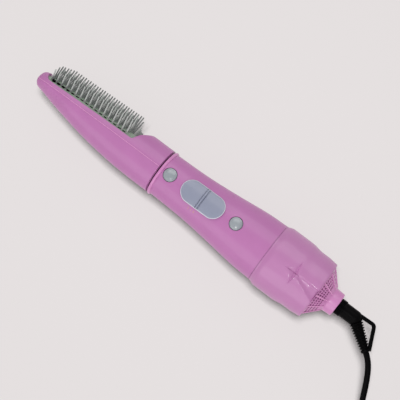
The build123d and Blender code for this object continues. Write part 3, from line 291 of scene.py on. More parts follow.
def thicken(piece: Piece, thickness: float, offset: int = -1, even: bool = True) -> None:
    """Give a sheet a wall, inwards or outwards."""
    modify(piece, "SOLIDIFY", thickness=thickness, offset=offset, use_even_offset=even)


def roll(piece: Piece, degrees: float, axis: str) -> None:
    """Turn a piece about one of the tool's axes."""
    piece.data.transform(Matrix.Rotation(math.radians(degrees), 4, axis))


def join(name: str, parts: Sequence[Piece]) -> Piece:
    """Make one piece of several.

    Args:
        name: Name of the joined piece.
        parts: The pieces.

    Returns:
        The joined piece.
    """
    activate(parts[0])
    for part in parts:
        part.select_set(True)
    bpy.ops.object.join()
    parts[0].name = name
    return parts[0]


def copies(piece: Piece, places: Sequence[Matrix]) -> list[Piece]:
    """Copies of a model piece, each with its own mesh, in place of the model.

    Args:
        piece: The model, which is removed.
        places: Where the copies stand.

    Returns:
        The copies.
    """
    made_here = []
    for place in places:
        other = placed(piece.name, piece.data.copy())
        other.data.transform(place)
        made_here.append(other)
    bpy.data.objects.remove(piece)
    return made_here


def close_up(piece: Piece) -> None:
    """Merge doubled points and turn every face outwards."""
    with editing(piece, action="SELECT"):
        bpy.ops.mesh.remove_doubles(threshold=MERGE_MM)
        bpy.ops.mesh.normals_make_consistent(inside=False)


def thread(name: str, points: Sequence[Sequence[float]]) -> Piece:
    """A line of edges: one point, extruded from place to place.

    Args:
        name: Name of the new piece.
        points: The places, in order; the last repeats the first where the line is closed.

    Returns:
        The line as a mesh of edges alone.
    """
    bpy.ops.mesh.primitive_plane_add(size=1)
    piece = made(name)
    places = [Vector((*point, 0.0)[:3]) for point in points]
    with editing(piece, action="SELECT"):
        bpy.ops.mesh.merge(type="CENTER")
        shift(*places[0])
        for here, there in zip(places, places[1:]):
            bpy.ops.mesh.extrude_vertices_move(TRANSFORM_OT_translate={"value": there - here})
        select_all()
        bpy.ops.mesh.remove_doubles(threshold=MERGE_MM)
    return piece


def turned(name: str, outline: Outline, segments: int = 128) -> Piece:
    """Spin an outline of (x, radius) pairs about the tool's axis.

    Args:
        name: Name of the new piece.
        outline: The outline, closed where its last pair is its first, or ending on the axis.
        segments: Steps round the axis.

    Returns:
        The turned piece, with its faces outwards.
    """
    piece = thread(name, outline)
    with editing(piece, action="SELECT"):
        bpy.ops.mesh.spin(steps=segments, angle=FULL_TURN, center=(0, 0, 0), axis=(1, 0, 0))
    close_up(piece)
    return piece


def prism(name: str, outline: Outline, low: float, high: float) -> Piece:
    """A block over a closed outline in the XY plane.

    Args:
        name: Name of the new piece.
        outline: Its corners.
        low: Where it starts on Z.
        high: Where it ends.

    Returns:
        The block, with its faces outwards.
    """
    piece = thread(name, [(x, y, low) for x, y in (*outline, outline[0])])
    with editing(piece, action="SELECT"):
        bpy.ops.mesh.edge_face_add()
        extrude(z=high - low)
    close_up(piece)
    return piece


def block(name: str, low: Sequence[float], high: Sequence[float]) -> Piece:
    """A box between two corners."""
    middle = [(a + b) / 2 for a, b in zip(low, high)]
    bpy.ops.mesh.primitive_cube_add(size=1, location=middle, scale=[b - a for a, b in zip(low, high)])
    return made(name)


def upright(name: str, x: float, y: float, low: float, high: float, radius: float, sides: int) -> Piece:
    """A round bar that stands along Z."""
    middle = (x, y, (low + high) / 2)
    bpy.ops.mesh.primitive_cylinder_add(vertices=sides, radius=radius, depth=high - low, location=middle)
    return made(name)


def hoop(name: str, points: int, fill: str = "NOTHING") -> Piece:
    """A circle of radius 1 across the tool's axis."""
    turn = (0, QUARTER_TURN, 0)
    bpy.ops.mesh.primitive_circle_add(vertices=points, radius=1, rotation=turn, fill_type=fill)
    return made(name)


def smooth_between(stations: Sequence[Sequence[float]], x: float) -> list[float]:
    """Values at one place on smooth curves through stations.

    Args:
        stations: Rows of a place and the values there, in order of place.
        x: The place asked for.

    Returns:
        The values at that place.
    """
    last = len(stations) - 1
    index = max(0, min(last - 1, sum(1 for row in stations if row[0] <= x) - 1))

    def slope(k: int, column: int) -> float:
        """Slope of one value's curve at a station."""
        low, high = stations[max(0, k - 1)], stations[min(last, k + 1)]
        return (high[column] - low[column]) / (high[0] - low[0])

    start, end = stations[index], stations[index + 1]
    run = end[0] - start[0]
    share = min(1.0, max(0.0, (x - start[0]) / run))
    values = []
    for column in range(1, len(start)):
        rise = end[column] - start[column]
        first = slope(index, column) * run
        second = slope(index + 1, column) * run
        curve = (first + second - 2 * rise) * share**3 + (3 * rise - 2 * first - second) * share**2
        values.append(curve + first * share + start[column])
    return values


def softened(points: Outline, radii: Sequence[float], steps: int = 5) -> list[Pair]:
    """Round the inner corners of an outline.

    Args:
        points: The outline's corners.
        radii: A radius for each corner but the first and the last.
        steps: Points on each arc, less one.

    Returns:
        The outline with its arcs.
    """
    places = [Vector(point) for point in points]
    outline = [tuple(places[0])]
    for before, corner, after, radius in zip(places, places[1:], places[2:], radii):
        back, on = (before - corner).normalized(), (after - corner).normalized()
        half = back.angle(on) / 2
        reach = min(radius / math.tan(half), 0.49 * (before - corner).length, 0.49 * (after - corner).length)
        start, end = corner + back * reach, corner + on * reach
        for step in range(steps + 1):
            share = step / steps
            bend = start * (1 - share) ** 2 + corner * 2 * share * (1 - share) + end * share**2
            outline.append(tuple(bend))
    outline.append(tuple(places[-1]))
    return outline


def finely(points: Outline, step: float) -> list[Pair]:
    """Divide the long runs of an outline into equal steps.

    Args:
        points: The outline.
        step: The longest step allowed.

    Returns:
        The outline with more points on the same lines.
    """
    outline = [tuple(points[0])]
    for start, end in zip(points, points[1:]):
        count = max(1, math.ceil(math.dist(start, end) / step))
        for k in range(1, count + 1):
            outline.append(tuple(a + (b - a) * k / count for a, b in zip(start, end)))
    return outline


# Finishes


def linear(colour: Sequence[int]) -> tuple[float, float, float, float]:
    """A colour of 0 to 255 as Blender's linear colour."""
    shares = [value / 255 for value in colour]
    return (*(s / 12.92 if s <= 0.04045 else ((s + 0.055) / 1.055) ** 2.4 for s in shares), 1.0)


class Graph:
    """A material's nodes, added and linked by name."""

    def __init__(self, name: str) -> None:
        """Start an empty node material.

        Args:
            name: Name of the material.
        """
        self.material = bpy.data.materials.new(name)
        self.material.use_nodes = True
        self.tree = self.material.node_tree
        self.tree.nodes.clear()
        self.place = self.add("TexCoord").outputs["Object"]

    def feed(self, socket: Socket, value: object) -> None:
        """Link a socket to another node's output, or give it a plain value."""
        if isinstance(value, Socket):
            self.tree.links.new(value, socket)
        else:
            socket.default_value = value

    def add(self, kind: str, **inputs: object) -> bpy.types.Node:
        """Add a node.

        Args:
            kind: Blender's name for the node, after its ShaderNode.
            inputs: Socket names with underscores, each a value or another node's output.

        Returns:
            The node.
        """
        node = self.tree.nodes.new("ShaderNode" + kind)
        for name, value in inputs.items():
            self.feed(node.inputs[name.replace("_", " ")], value)
        return node

    def chain(self, kind: str, *values: object, operation: str = "") -> Socket:
        """Add a node whose sockets are filled in order.

        Args:
            kind: Blender's name for the node, after its ShaderNode.
            values: Each a value or another node's output.
            operation: What a Math node does.

        Returns:
            The node's output.
        """
        node = self.add(kind)
        if operation:
            node.operation = operation
        for socket, value in zip(node.inputs, values):
            self.feed(socket, value)
        return node.outputs[0]

    def noise(self, size_mm: float, detail: float = 3.0, stretch: Triple = (1, 1, 1)) -> Socket:
        """A noise of the given grain size, stretched along the axes where asked."""
        place = self.place
        if stretch != (1, 1, 1):
            place = self.add("Mapping", Vector=place, Scale=stretch).outputs["Vector"]
        return self.add("TexNoise", Vector=place, Scale=1 / (size_mm * MM), Detail=detail).outputs["Fac"]

    def between(self, share: Socket, low: float, high: float) -> Socket:
        """Spread a noise between two values."""
        node = self.add("MapRange", Value=share, From_Min=0.3, From_Max=0.7, To_Min=low, To_Max=high)
        return node.outputs["Result"]

    def blend(self, share: Socket, first: Colour, second: Colour) -> Socket:
        """Mix two colours of 0 to 255 by a noise."""
        node = self.add("ValToRGB", Fac=share)
        for index, (position, colour) in enumerate(((0.32, first), (0.68, second))):
            node.color_ramp.elements[index].position = position
            node.color_ramp.elements[index].color = linear(colour)
        return node.outputs["Color"]

    def bump(self, height: Socket, relief_mm: float, strength: float) -> Socket:
        """A fine relief from a noise."""
        node = self.add("Bump", Height=height, Distance=relief_mm * MM, Strength=strength)
        return node.outputs["Normal"]

    def plastic(
        self, share: Socket, tones: Sequence[Colour], gloss: Triple, normal: Socket, **more: object
    ) -> Material:
        """Close the material with a shader of two tones and a gloss that varies a little.

        Args:
            share: What mixes the two tones.
            tones: The two colours, 0 to 255.
            gloss: Size of the gloss's drift in millimetres, lowest and highest roughness.
            normal: The relief.
            more: Other sockets of the shader.

        Returns:
            The material.
        """
        rough = self.between(self.noise(gloss[0]), *gloss[1:])
        tone = self.blend(share, *tones)
        shader = self.add("BsdfPrincipled", Base_Color=tone, Roughness=rough, Normal=normal, **more)
        return self.close(shader.outputs[0])

    def close(self, shader: Socket) -> Material:
        """Link the shader to the output and give the material."""
        self.add("OutputMaterial", Surface=shader)
        return self.material


@dataclass(frozen=True)
class Moulded:
    """A moulded plastic, a rubber or a metal: two close tones, a fine grain and a gloss that varies.

    Args:
        name: The material slot.
        tone: Main colour, 0 to 255.
        second: The colour that it drifts to in places.
        roughness: Lowest and highest roughness.
        grain: Size of the surface grain in millimetres.
        strength: How much the grain shows.
        metallic: 1 for a metal.
        stretch: Scale of the grain along each axis, for a brushed or drawn surface.
        coat: Weight of a clear gloss layer.
        coat_rough: Roughness of that layer.
        shine: Level of the plain reflection, 0.5 for an ordinary plastic.
    """

    name: str
    tone: Colour
    second: Colour
    roughness: Pair
    grain: float = 0.35
    strength: float = 0.25
    metallic: float = 0.0
    stretch: Triple = (1, 1, 1)
    coat: float = 0.0
    coat_rough: float = 0.14
    shine: float = 0.5
    drift: ClassVar[float] = 18.0
    gloss_drift: ClassVar[float] = 4.0

    def build(self) -> Material:
        """Build the finish.

        Returns:
            The finish as a node material.
        """
        graph = Graph(self.name)
        return graph.plastic(
            graph.noise(self.drift, 4.0),
            (self.tone, self.second),
            (self.gloss_drift, *self.roughness),
            graph.bump(graph.noise(self.grain, 2.0, self.stretch), GRAIN_RELIEF_MM, self.strength),
            Metallic=self.metallic,
            Coat_Weight=self.coat,
            Coat_Roughness=self.coat_rough,
            Specular_IOR_Level=self.shine,
        )


@dataclass(frozen=True)
class Patterned:
    """A sheet with a pattern in it, such as pressed flakes or printed tracks.

    Args:
        name: The material slot.
        tones: The pattern's two colours, 0 to 255.
        texture: Blender's name for the texture node, after its ShaderNode, and for its output.
        cell: Size of the pattern in millimetres.
        gloss: Size of the gloss's drift in millimetres, lowest and highest roughness.
        relief: Height of the pattern in millimetres, and how much it shows.
        sockets: Other sockets of the texture, each a name and a value.
    """

    name: str
    tones: tuple[Colour, Colour]
    texture: tuple[str, str]
    cell: float
    gloss: Triple
    relief: Pair
    sockets: tuple = ()

    def build(self) -> Material:
        """Build the finish.

        Returns:
            The finish as a node material.
        """
        graph = Graph(self.name)
        kind, output = self.texture
        node = graph.add(kind, Vector=graph.place, Scale=1 / (self.cell * MM), **dict(self.sockets))
        share = node.outputs[output]
        return graph.plastic(share, self.tones, self.gloss, graph.bump(share, *self.relief))


@dataclass(frozen=True)
class Bristled:
    """Moulded bristles: pale in the outer rows, and darker in between as painted shade, where the outer rows
    shadow the middle ones.

    Args:
        name: The material slot.
        pale: Colour of the outer rows, where no painted shade falls, 0 to 255.
        painted_shade: Colour of the middle row, painted shade.
        axis_height: Height of the middle row over the floor, in millimetres.
        reach: How far from the middle row the painted shade starts and stops to fade, in millimetres.
        gloss: Size of the gloss's drift in millimetres, lowest and highest roughness.
    """

    name: str = "bristle_grey"
    pale: Colour = (172, 176, 172)
    painted_shade: Colour = (118, 122, 120)
    axis_height: float = 29.4
    reach: Pair = (9.0, 18.0)
    gloss: Triple = (4.0, 0.3, 0.4)

    def build(self) -> Material:
        """Build the finish.

        Returns:
            The finish as a node material.
        """
        graph = Graph(self.name)
        height = graph.add("SeparateXYZ", Vector=graph.place).outputs["Z"]
        over = graph.chain("Math", height, self.axis_height * MM, operation="SUBTRACT")
        away = graph.chain("Math", over, operation="ABSOLUTE")
        # Painted shade: the colour darkens towards the middle row, which the rows around it shadow.
        low, high = (value * MM for value in self.reach)
        share = graph.add("MapRange", Value=away, From_Min=low, From_Max=high).outputs["Result"]
        normal = graph.bump(graph.noise(0.5, 2.0), GRAIN_RELIEF_MM, 0.15)
        return graph.plastic(share, (self.painted_shade, self.pale), self.gloss, normal)


PINK = Moulded("pink_shell", (181, 110, 168), (177, 107, 164), (0.5, 0.58), strength=0.08, coat=0.35)
# The rear housing's copy of the pink shell, paler and less saturated: painted sheen for the broad soft
# reflection on the barrel.
PINK_WITH_PAINTED_SHEEN = Moulded("pink_shell", (183, 118, 170), (179, 115, 166), (0.46, 0.54), strength=0.08, coat=0.45)
PALE = Moulded("pink_shell", (201, 130, 184), (196, 125, 178), (0.3, 0.38), strength=0.08, coat=0.35)
TRIM = Moulded("pink_trim", (204, 130, 186), (199, 125, 180), (0.3, 0.38), strength=0.08, coat=0.35)
# A lighter pink for the grille's ribs, and painted highlight for the bead along the head's parting edge.
RIB_AND_HIGHLIGHT = Moulded("pink_trim", (226, 160, 206), (220, 154, 200), (0.3, 0.38), strength=0.08)
PRINT = Moulded("pink_trim", (196, 150, 92), (188, 142, 84), (0.4, 0.5), strength=0.05)
BUTTON = Moulded(
    "grey_button", (149, 155, 161), (142, 149, 156), (0.2, 0.28), strength=0.06, coat=0.8, coat_rough=0.07
)
SLIDER = Moulded(
    "grey_slider", (140, 144, 164), (135, 140, 160), (0.42, 0.5), grain=0.25, strength=0.12, coat=0.4
)
# Painted highlight: a pale grey for a thin sheet over the slider's rim, where light catches it.
EDGE = Moulded("grey_slider", (206, 210, 218), (200, 204, 213), (0.2, 0.28), grain=0.25, strength=0.08)
PAD = Moulded("bristle_grey", (142, 160, 142), (132, 150, 132), (0.4, 0.5), strength=0.15)
PEG = Moulded("bristle_grey", (142, 148, 144), (134, 140, 136), (0.3, 0.4), strength=0.1)
BLACK_PLASTIC = Moulded("black_plastic", (4, 4, 5), (6, 6, 7), (0.3, 0.4), strength=0.25, shine=0.03)
RUBBER = Moulded("black_rubber", (4, 4, 5), (7, 6, 7), (0.36, 0.46), grain=0.3, strength=0.3, shine=0.035)
# Painted shade: a maroon near-black, redder than the black plastic, for the spigot seen in the shaded groove
# behind the head, and for the release latch.
SHADE_MAROON = Moulded("black_plastic", (20, 1, 10), (15, 1, 8), (0.5, 0.6), shine=0.03)
WIRE = Moulded("resistance_wire", (122, 112, 104), (96, 84, 78), (0.3, 0.45), metallic=1.0, grain=0.2)
STEEL = Moulded("steel", (186, 188, 192), (172, 175, 180), (0.22, 0.34), metallic=1.0, stretch=(0.1, 1, 1))
CAN = Moulded("motor_can", (150, 152, 156), (138, 140, 146), (0.3, 0.42), metallic=1.0, stretch=(0.1, 1, 1))
BRASS = Moulded("brass", (196, 162, 92), (182, 146, 78), (0.24, 0.36), metallic=1.0, stretch=(1, 0.1, 1))
WHITE = Moulded("white_plastic", (226, 224, 216), (218, 215, 206), (0.34, 0.44), strength=0.15)
PIN = Moulded("pin_metal", (206, 204, 198), (192, 190, 184), (0.18, 0.28), metallic=1.0, stretch=(0.08, 1, 1))
BRISTLE = Bristled()
MICA = Patterned(
    "mica", ((168, 142, 98), (204, 186, 146)), ("TexVoronoi", "Distance"), 1.6, (3.0, 0.28, 0.5), (0.05, 0.4)
)
BOARD = Patterned(
    "board",
    ((26, 92, 52), (58, 128, 74)),
    ("TexBrick", "Fac"),
    6.0,
    (2.0, 0.25, 0.38),
    (0.04, 0.5),
    (("Mortar_Size", 0.05),),
)

Finish = Moulded | Bristled | Patterned

NODE_FINISHES: dict[Finish, tuple[str, ...]] = {
    PINK: ("head_socket",),
    # The spigot in the groove takes the painted shade maroon.
    SHADE_MAROON: ("outlet_spigot",),
    STEEL: ("release_spring", "cool_spring", "thermal_fuse", "fan_shaft", "shell_screws"),
    BLACK_PLASTIC: ("cool_switch", "switch_body", "board_diodes", "motor_mount", "fan", "swivel_socket"),
    WHITE: ("switch_knob", "thermostat"),
    BOARD: ("circuit_board",),
    MICA: ("mica_tube", "heater_cards"),
    WIRE: ("heater_coil",),
    CAN: ("motor",),
    BRASS: ("slip_rings",),
}


@dataclass
class Shop:
    """Where pieces get their finish and their place on the table.

    Args:
        placement: How the tool lies.
    """

    placement: Placement
    built: dict[Finish, Material] = field(default_factory=dict)

    def material(self, finish: Finish) -> Material:
        """A finish's material, built the first time it is asked for."""
        if finish not in self.built:
            self.built[finish] = finish.build()
        return self.built[finish]

    def dress(self, piece: Piece, finish: Finish) -> None:
        """Give a piece one finish all over."""
        piece.data.materials.clear()
        piece.data.materials.append(self.material(finish))

    def dress_nodes(self) -> None:
        """Give every CAD node that stays its finish."""
        for finish, names in NODE_FINISHES.items():
            for name in names:
                self.dress(frame["nodes"][name], finish)

    def hand_over(self, piece: Piece, body: Body, finish: Finish, *nodes: str, degrees: float = 32.0) -> None:
        """Smooth, dress and lay down a finished piece.

        Args:
            piece: The piece, modelled in the tool's frame.
            body: The body that it rides on.
            finish: Its finish, whose name is its material slot.
            nodes: The CAD nodes that it stands for.
            degrees: Edges sharper than this stay sharp.
        """
        activate(piece)
        bpy.ops.object.shade_smooth_by_angle(angle=math.radians(degrees))
        self.dress(piece, finish)
        piece.data.transform(self.placement.matrix)
        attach(piece, body.value)
        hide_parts(*nodes)
        LOG.info("%s: %d faces on %s", piece.name, len(piece.data.polygons), body.value)


@dataclass
class Assembly:
    """A part of the tool that makes its own pieces, most of which ride on one body.

    Args:
        shop: Where its pieces are finished.
    """

    shop: Shop
    body: ClassVar[Body] = Body.HANDLE

    def hand_over(self, piece: Piece, finish: Finish, *nodes: str, degrees: float = 32.0) -> None:
        """Finish a piece that rides on this part's own body."""
        self.shop.hand_over(piece, self.body, finish, *nodes, degrees=degrees)


# Studio


@dataclass
class Studio:
    """Floor, lamps and camera of the photograph.

    Args:
        placement: How the tool lies.
        distance: How far off the camera is, in millimetres.
        lean: How far it leans along and across the tool, in degrees.
        roll: Which way of the tool is to the right of the picture.
        floor_glow: Share of the floor's light that is there without the lamps.
        floor_matt: Share that the lamps give, which keeps the shadow.
        floor_bounce: How much light the floor gives to the tool.
        lamps: Name, place and size in metres, and watts. INCLUDE lights the floor alone, EXCLUDE the rest.
    """

    placement: Placement
    lens: float = 92.5
    distance: float = 894.0
    target: Triple = (41.27, 0.9, 0.0)
    lean: Pair = (7.3, -7.4)
    roll: Pair = (0.7945, 0.6072)
    floor_colour: Colour = (228, 223, 223)
    floor_size: float = 6.0
    floor_glow: float = 0.13
    floor_matt: float = 0.233
    floor_bounce: float = 0.75
    world_level: float = 0.56
    world_colour: Colour = (250, 250, 250)
    lamps: tuple = (
        ("key", (0.1, -1.6, 0.75), (2.4, 1.3), 15.0, "EXCLUDE"),
        ("fill", (-0.3, 1.1, 1.3), (2.0, 1.2), 12.0, "EXCLUDE"),
        ("spark", (0.32, -0.42, 1.1), (0.06, 0.06), 2.4, "EXCLUDE"),
        ("shade", (0.0, 0.0, 2.6), (0.7, 0.7), 224.0, "INCLUDE"),
    )

    def camera(self) -> None:
        """Set the camera where the photograph was taken from."""
        data = bpy.data.cameras.new("camera")
        data.lens = self.lens
        camera = placed("camera", data)
        turn = self.placement.matrix.to_3x3().normalized()
        along, across = (math.tan(math.radians(angle)) for angle in self.lean)
        away = Vector((along, across, 1)).normalized()
        right = Vector((*self.roll, 0))
        right = (right - away * right.dot(away)).normalized()
        axes = Matrix([turn @ right, turn @ away.cross(right), turn @ away]).transposed()
        place = self.placement.point(*(Vector(self.target) + away * self.distance))
        camera.matrix_world = Matrix.Translation(place) @ axes.to_4x4()
        bpy.context.scene.camera = camera

    def floor(self) -> Piece:
        """A plain pale floor that keeps the tool's shadow.

        Returns:
            The floor, for the lamps that light it or pass it by.
        """
        bpy.ops.mesh.primitive_plane_add(size=self.floor_size)
        piece = made("floor")
        graph = Graph("floor")
        colour = linear(self.floor_colour)
        rays = graph.add("LightPath").outputs
        sight = rays["Is Camera Ray"]
        for other in ("Is Glossy Ray", "Is Transmission Ray"):
            sight = graph.chain("Math", sight, rays[other], operation="MAXIMUM")
        dim = (*(value * self.floor_matt for value in colour[:3]), 1.0)
        matt = graph.add("BsdfDiffuse", Color=dim).outputs[0]
        plain = graph.add("Emission", Color=colour, Strength=self.floor_glow).outputs[0]
        bounce = graph.add("Emission", Color=colour, Strength=self.floor_bounce).outputs[0]
        shown = graph.chain("AddShader", matt, plain)
        piece.data.materials.append(graph.close(graph.chain("MixShader", sight, bounce, shown)))
        return piece

    def light(self, floor: Piece) -> None:
        """Hang the soft lamps, each aimed at the middle of the tool."""
        for name, place, size, power, state in self.lamps:
            data = bpy.data.lights.new(name, "AREA")
            data.shape = "RECTANGLE"
            data.size, data.size_y = size
            data.energy = power
            lamp = placed(name, data)
            lamp.location = place
            lamp.rotation_mode = "QUATERNION"
            lamp.rotation_quaternion = (-Vector(place)).to_track_quat("-Z", "Y")
            receivers = bpy.data.collections.new(name)
            receivers.objects.link(floor)
            receivers.collection_objects[0].light_linking.link_state = state
            lamp.light_linking.receiver_collection = receivers

    def world(self) -> None:
        """An even pale surround."""
        world = bpy.data.worlds.new("surround")
        world.use_nodes = True
        background = world.node_tree.nodes["Background"]
        background.inputs["Color"].default_value = linear(self.world_colour)
        background.inputs["Strength"].default_value = self.world_level
        bpy.context.scene.world = world

    def build(self) -> None:
        """Set up the whole studio."""
        bpy.context.scene.view_settings.view_transform = "Standard"
        self.camera()
        self.world()
        self.light(self.floor())


# Handle


@dataclass
class Handle(Assembly):
    """The grip: two shells that meet beside the buttons, and the beaded ring at its front."""

    stations: tuple = ((2.9, 20.5), (36.0, 21.5), (66.0, 24.0), (97.0, 27.3), (116.0, 28.0))
    step: float = 3.5
    support: float = 0.5
    wall: float = 2.0
    seat_x: float = 1.6
    seat_radius: float = 19.4
    coupling: Pair = (126.0, 26.2)
    coupling_overlap: float = 3.0
    segments: int = 144
    seam_round: float = 0.18
    seam_degrees: float = 50.0
    button_holes: tuple = ((10.3, 6.4), (80.9, 6.15))
    hole_reach: Pair = (5.0, 40.0)
    slot: tuple = ((36.6, -3.4, 0.0), (48.4, 3.4, 40.0))
    screw_x: float = 100.0
    screw_y: float = 19.6
    screw_seat: float = -6.0
    screw_hole: float = 2.8
    boss: float = 3.4
    boss_reach: Pair = (-16.0, -0.3)
    ring_x: Pair = (0.0, 2.9)
    ring_crown: float = 21.9
    ring_front: float = 20.7
    ring_steps: int = 10
    marks_at: tuple = (("0", 45.4), ("1", 42.5), ("2", 39.6))
    mark_y: float = -13.0
    mark_size: float = 2.4
    mark_depth: float = 0.03

    def radius(self, x: float) -> float:
        """Outer radius of the grip at one place along it."""
        return smooth_between(self.stations, x)[0]

    def outline(self, offset: float, last_x: float) -> list[Pair]:
        """The grip's outline, moved out from its surface by an offset.

        Args:
            offset: How far it is moved out.
            last_x: Where it ends.

        Returns:
            Its (x, radius) pairs.
        """
        first_x = self.stations[0][0]
        count = math.ceil((last_x - first_x) / self.step)
        places = [first_x + (last_x - first_x) * k / count for k in range(count + 1)]
        places[1:1] = [first_x + self.support]
        places[-1:-1] = [last_x - self.support]
        return [(x, self.radius(x) + offset) for x in places]

    def height(self, x: float, y: float, offset: float = 0.0) -> float:
        """Height of the grip's surface over one place beside the buttons."""
        return math.sqrt((self.radius(x) + offset) ** 2 - y * y)

    def whole(self) -> Piece:
        """Turn the grip before it is parted.

        Returns:
            The closed tube.
        """
        end_x, radius = self.coupling
        last_x = self.stations[-1][0]
        outer = self.outline(0.0, last_x)
        inner = self.outline(-self.wall, last_x - self.coupling_overlap)
        first_x, first_radius = self.stations[0]
        bore = radius - self.wall
        rear = [(outer[-1][0], radius), (end_x, radius), (end_x, bore), (inner[-1][0], bore)]
        front = [(self.seat_x, first_radius - self.wall), (self.seat_x, self.seat_radius)]
        front.append((first_x, self.seat_radius))
        return turned("grip", [*outer, *rear, *reversed(inner), *front, outer[0]], self.segments)

    def half(self, name: str, side: str) -> Piece:
        """The half of the grip above or below its parting plane."""
        piece = self.whole()
        piece.name = name
        with editing(piece):
            cut(2, 0, side, fill=True)
        return piece

    def upper_shell(self) -> None:
        """The upper shell, open for the two buttons and the slider's fork."""
        piece = self.half("grip_upper", "above")
        for x, radius in self.button_holes:
            combine(piece, upright("hole", x, 0, *self.hole_reach, radius, 72))
        combine(piece, block("slot", *self.slot))
        round_edges(piece, self.seam_round, 2, self.seam_degrees)
        self.hand_over(piece, PINK, "handle_upper_shell")

    def lower_shell(self) -> None:
        """The lower shell, with deep holes for the screws that close the grip."""
        piece = self.half("grip_lower", "below")
        for y in (-self.screw_y, self.screw_y):
            combine(piece, upright("boss", self.screw_x, y, *self.boss_reach, self.boss, 40), "UNION")
            depth = self.screw_seat - 20
            combine(piece, upright("hole", self.screw_x, y, depth, self.screw_seat, self.screw_hole, 40))
        round_edges(piece, self.seam_round, 2, self.seam_degrees)
        self.hand_over(piece, PINK, "handle_lower_shell")

    def front_ring(self) -> None:
        """The beaded trim ring that meets the head."""
        start, end = self.ring_x
        middle, half = (start + end) / 2, (end - start) / 2
        low = (self.ring_front + self.stations[0][1]) / 2
        bead = []
        for step in range(self.ring_steps + 1):
            share = step / self.ring_steps
            turn = math.pi * share
            base = self.ring_front + (self.stations[0][1] - self.ring_front) * share
            bead.append((middle - half * math.cos(turn), base + (self.ring_crown - low) * math.sin(turn)))
        outline = [(start, self.seat_radius), *bead, (end, self.seat_radius), (start, self.seat_radius)]
        self.hand_over(turned("front_ring", outline, self.segments), TRIM, "front_ring")

    def marks(self) -> None:
        """The plain numbers of the slider's three positions, printed beside it."""
        parts = []
        for sign, x in self.marks_at:
            bpy.ops.object.text_add(location=(0, 0, 0))
            text = bpy.context.object
            text.data.body = sign
            text.data.size = self.mark_size
            text.data.align_x = "CENTER"
            text.data.align_y = "CENTER"
            text.data.extrude = self.mark_depth
            text.location = (x, self.mark_y, 0)
            activate(text)
            bpy.ops.object.convert(target="MESH")
            parts.append(made("mark"))
        piece = join("position_marks", parts)
        for point in piece.data.vertices:
            point.co.z += self.height(point.co.x, point.co.y)
        self.hand_over(piece, PRINT)

    def build(self) -> None:
        """Build the whole grip."""
        self.upper_shell()
        self.lower_shell()
        self.front_ring()
        self.marks()


# Controls


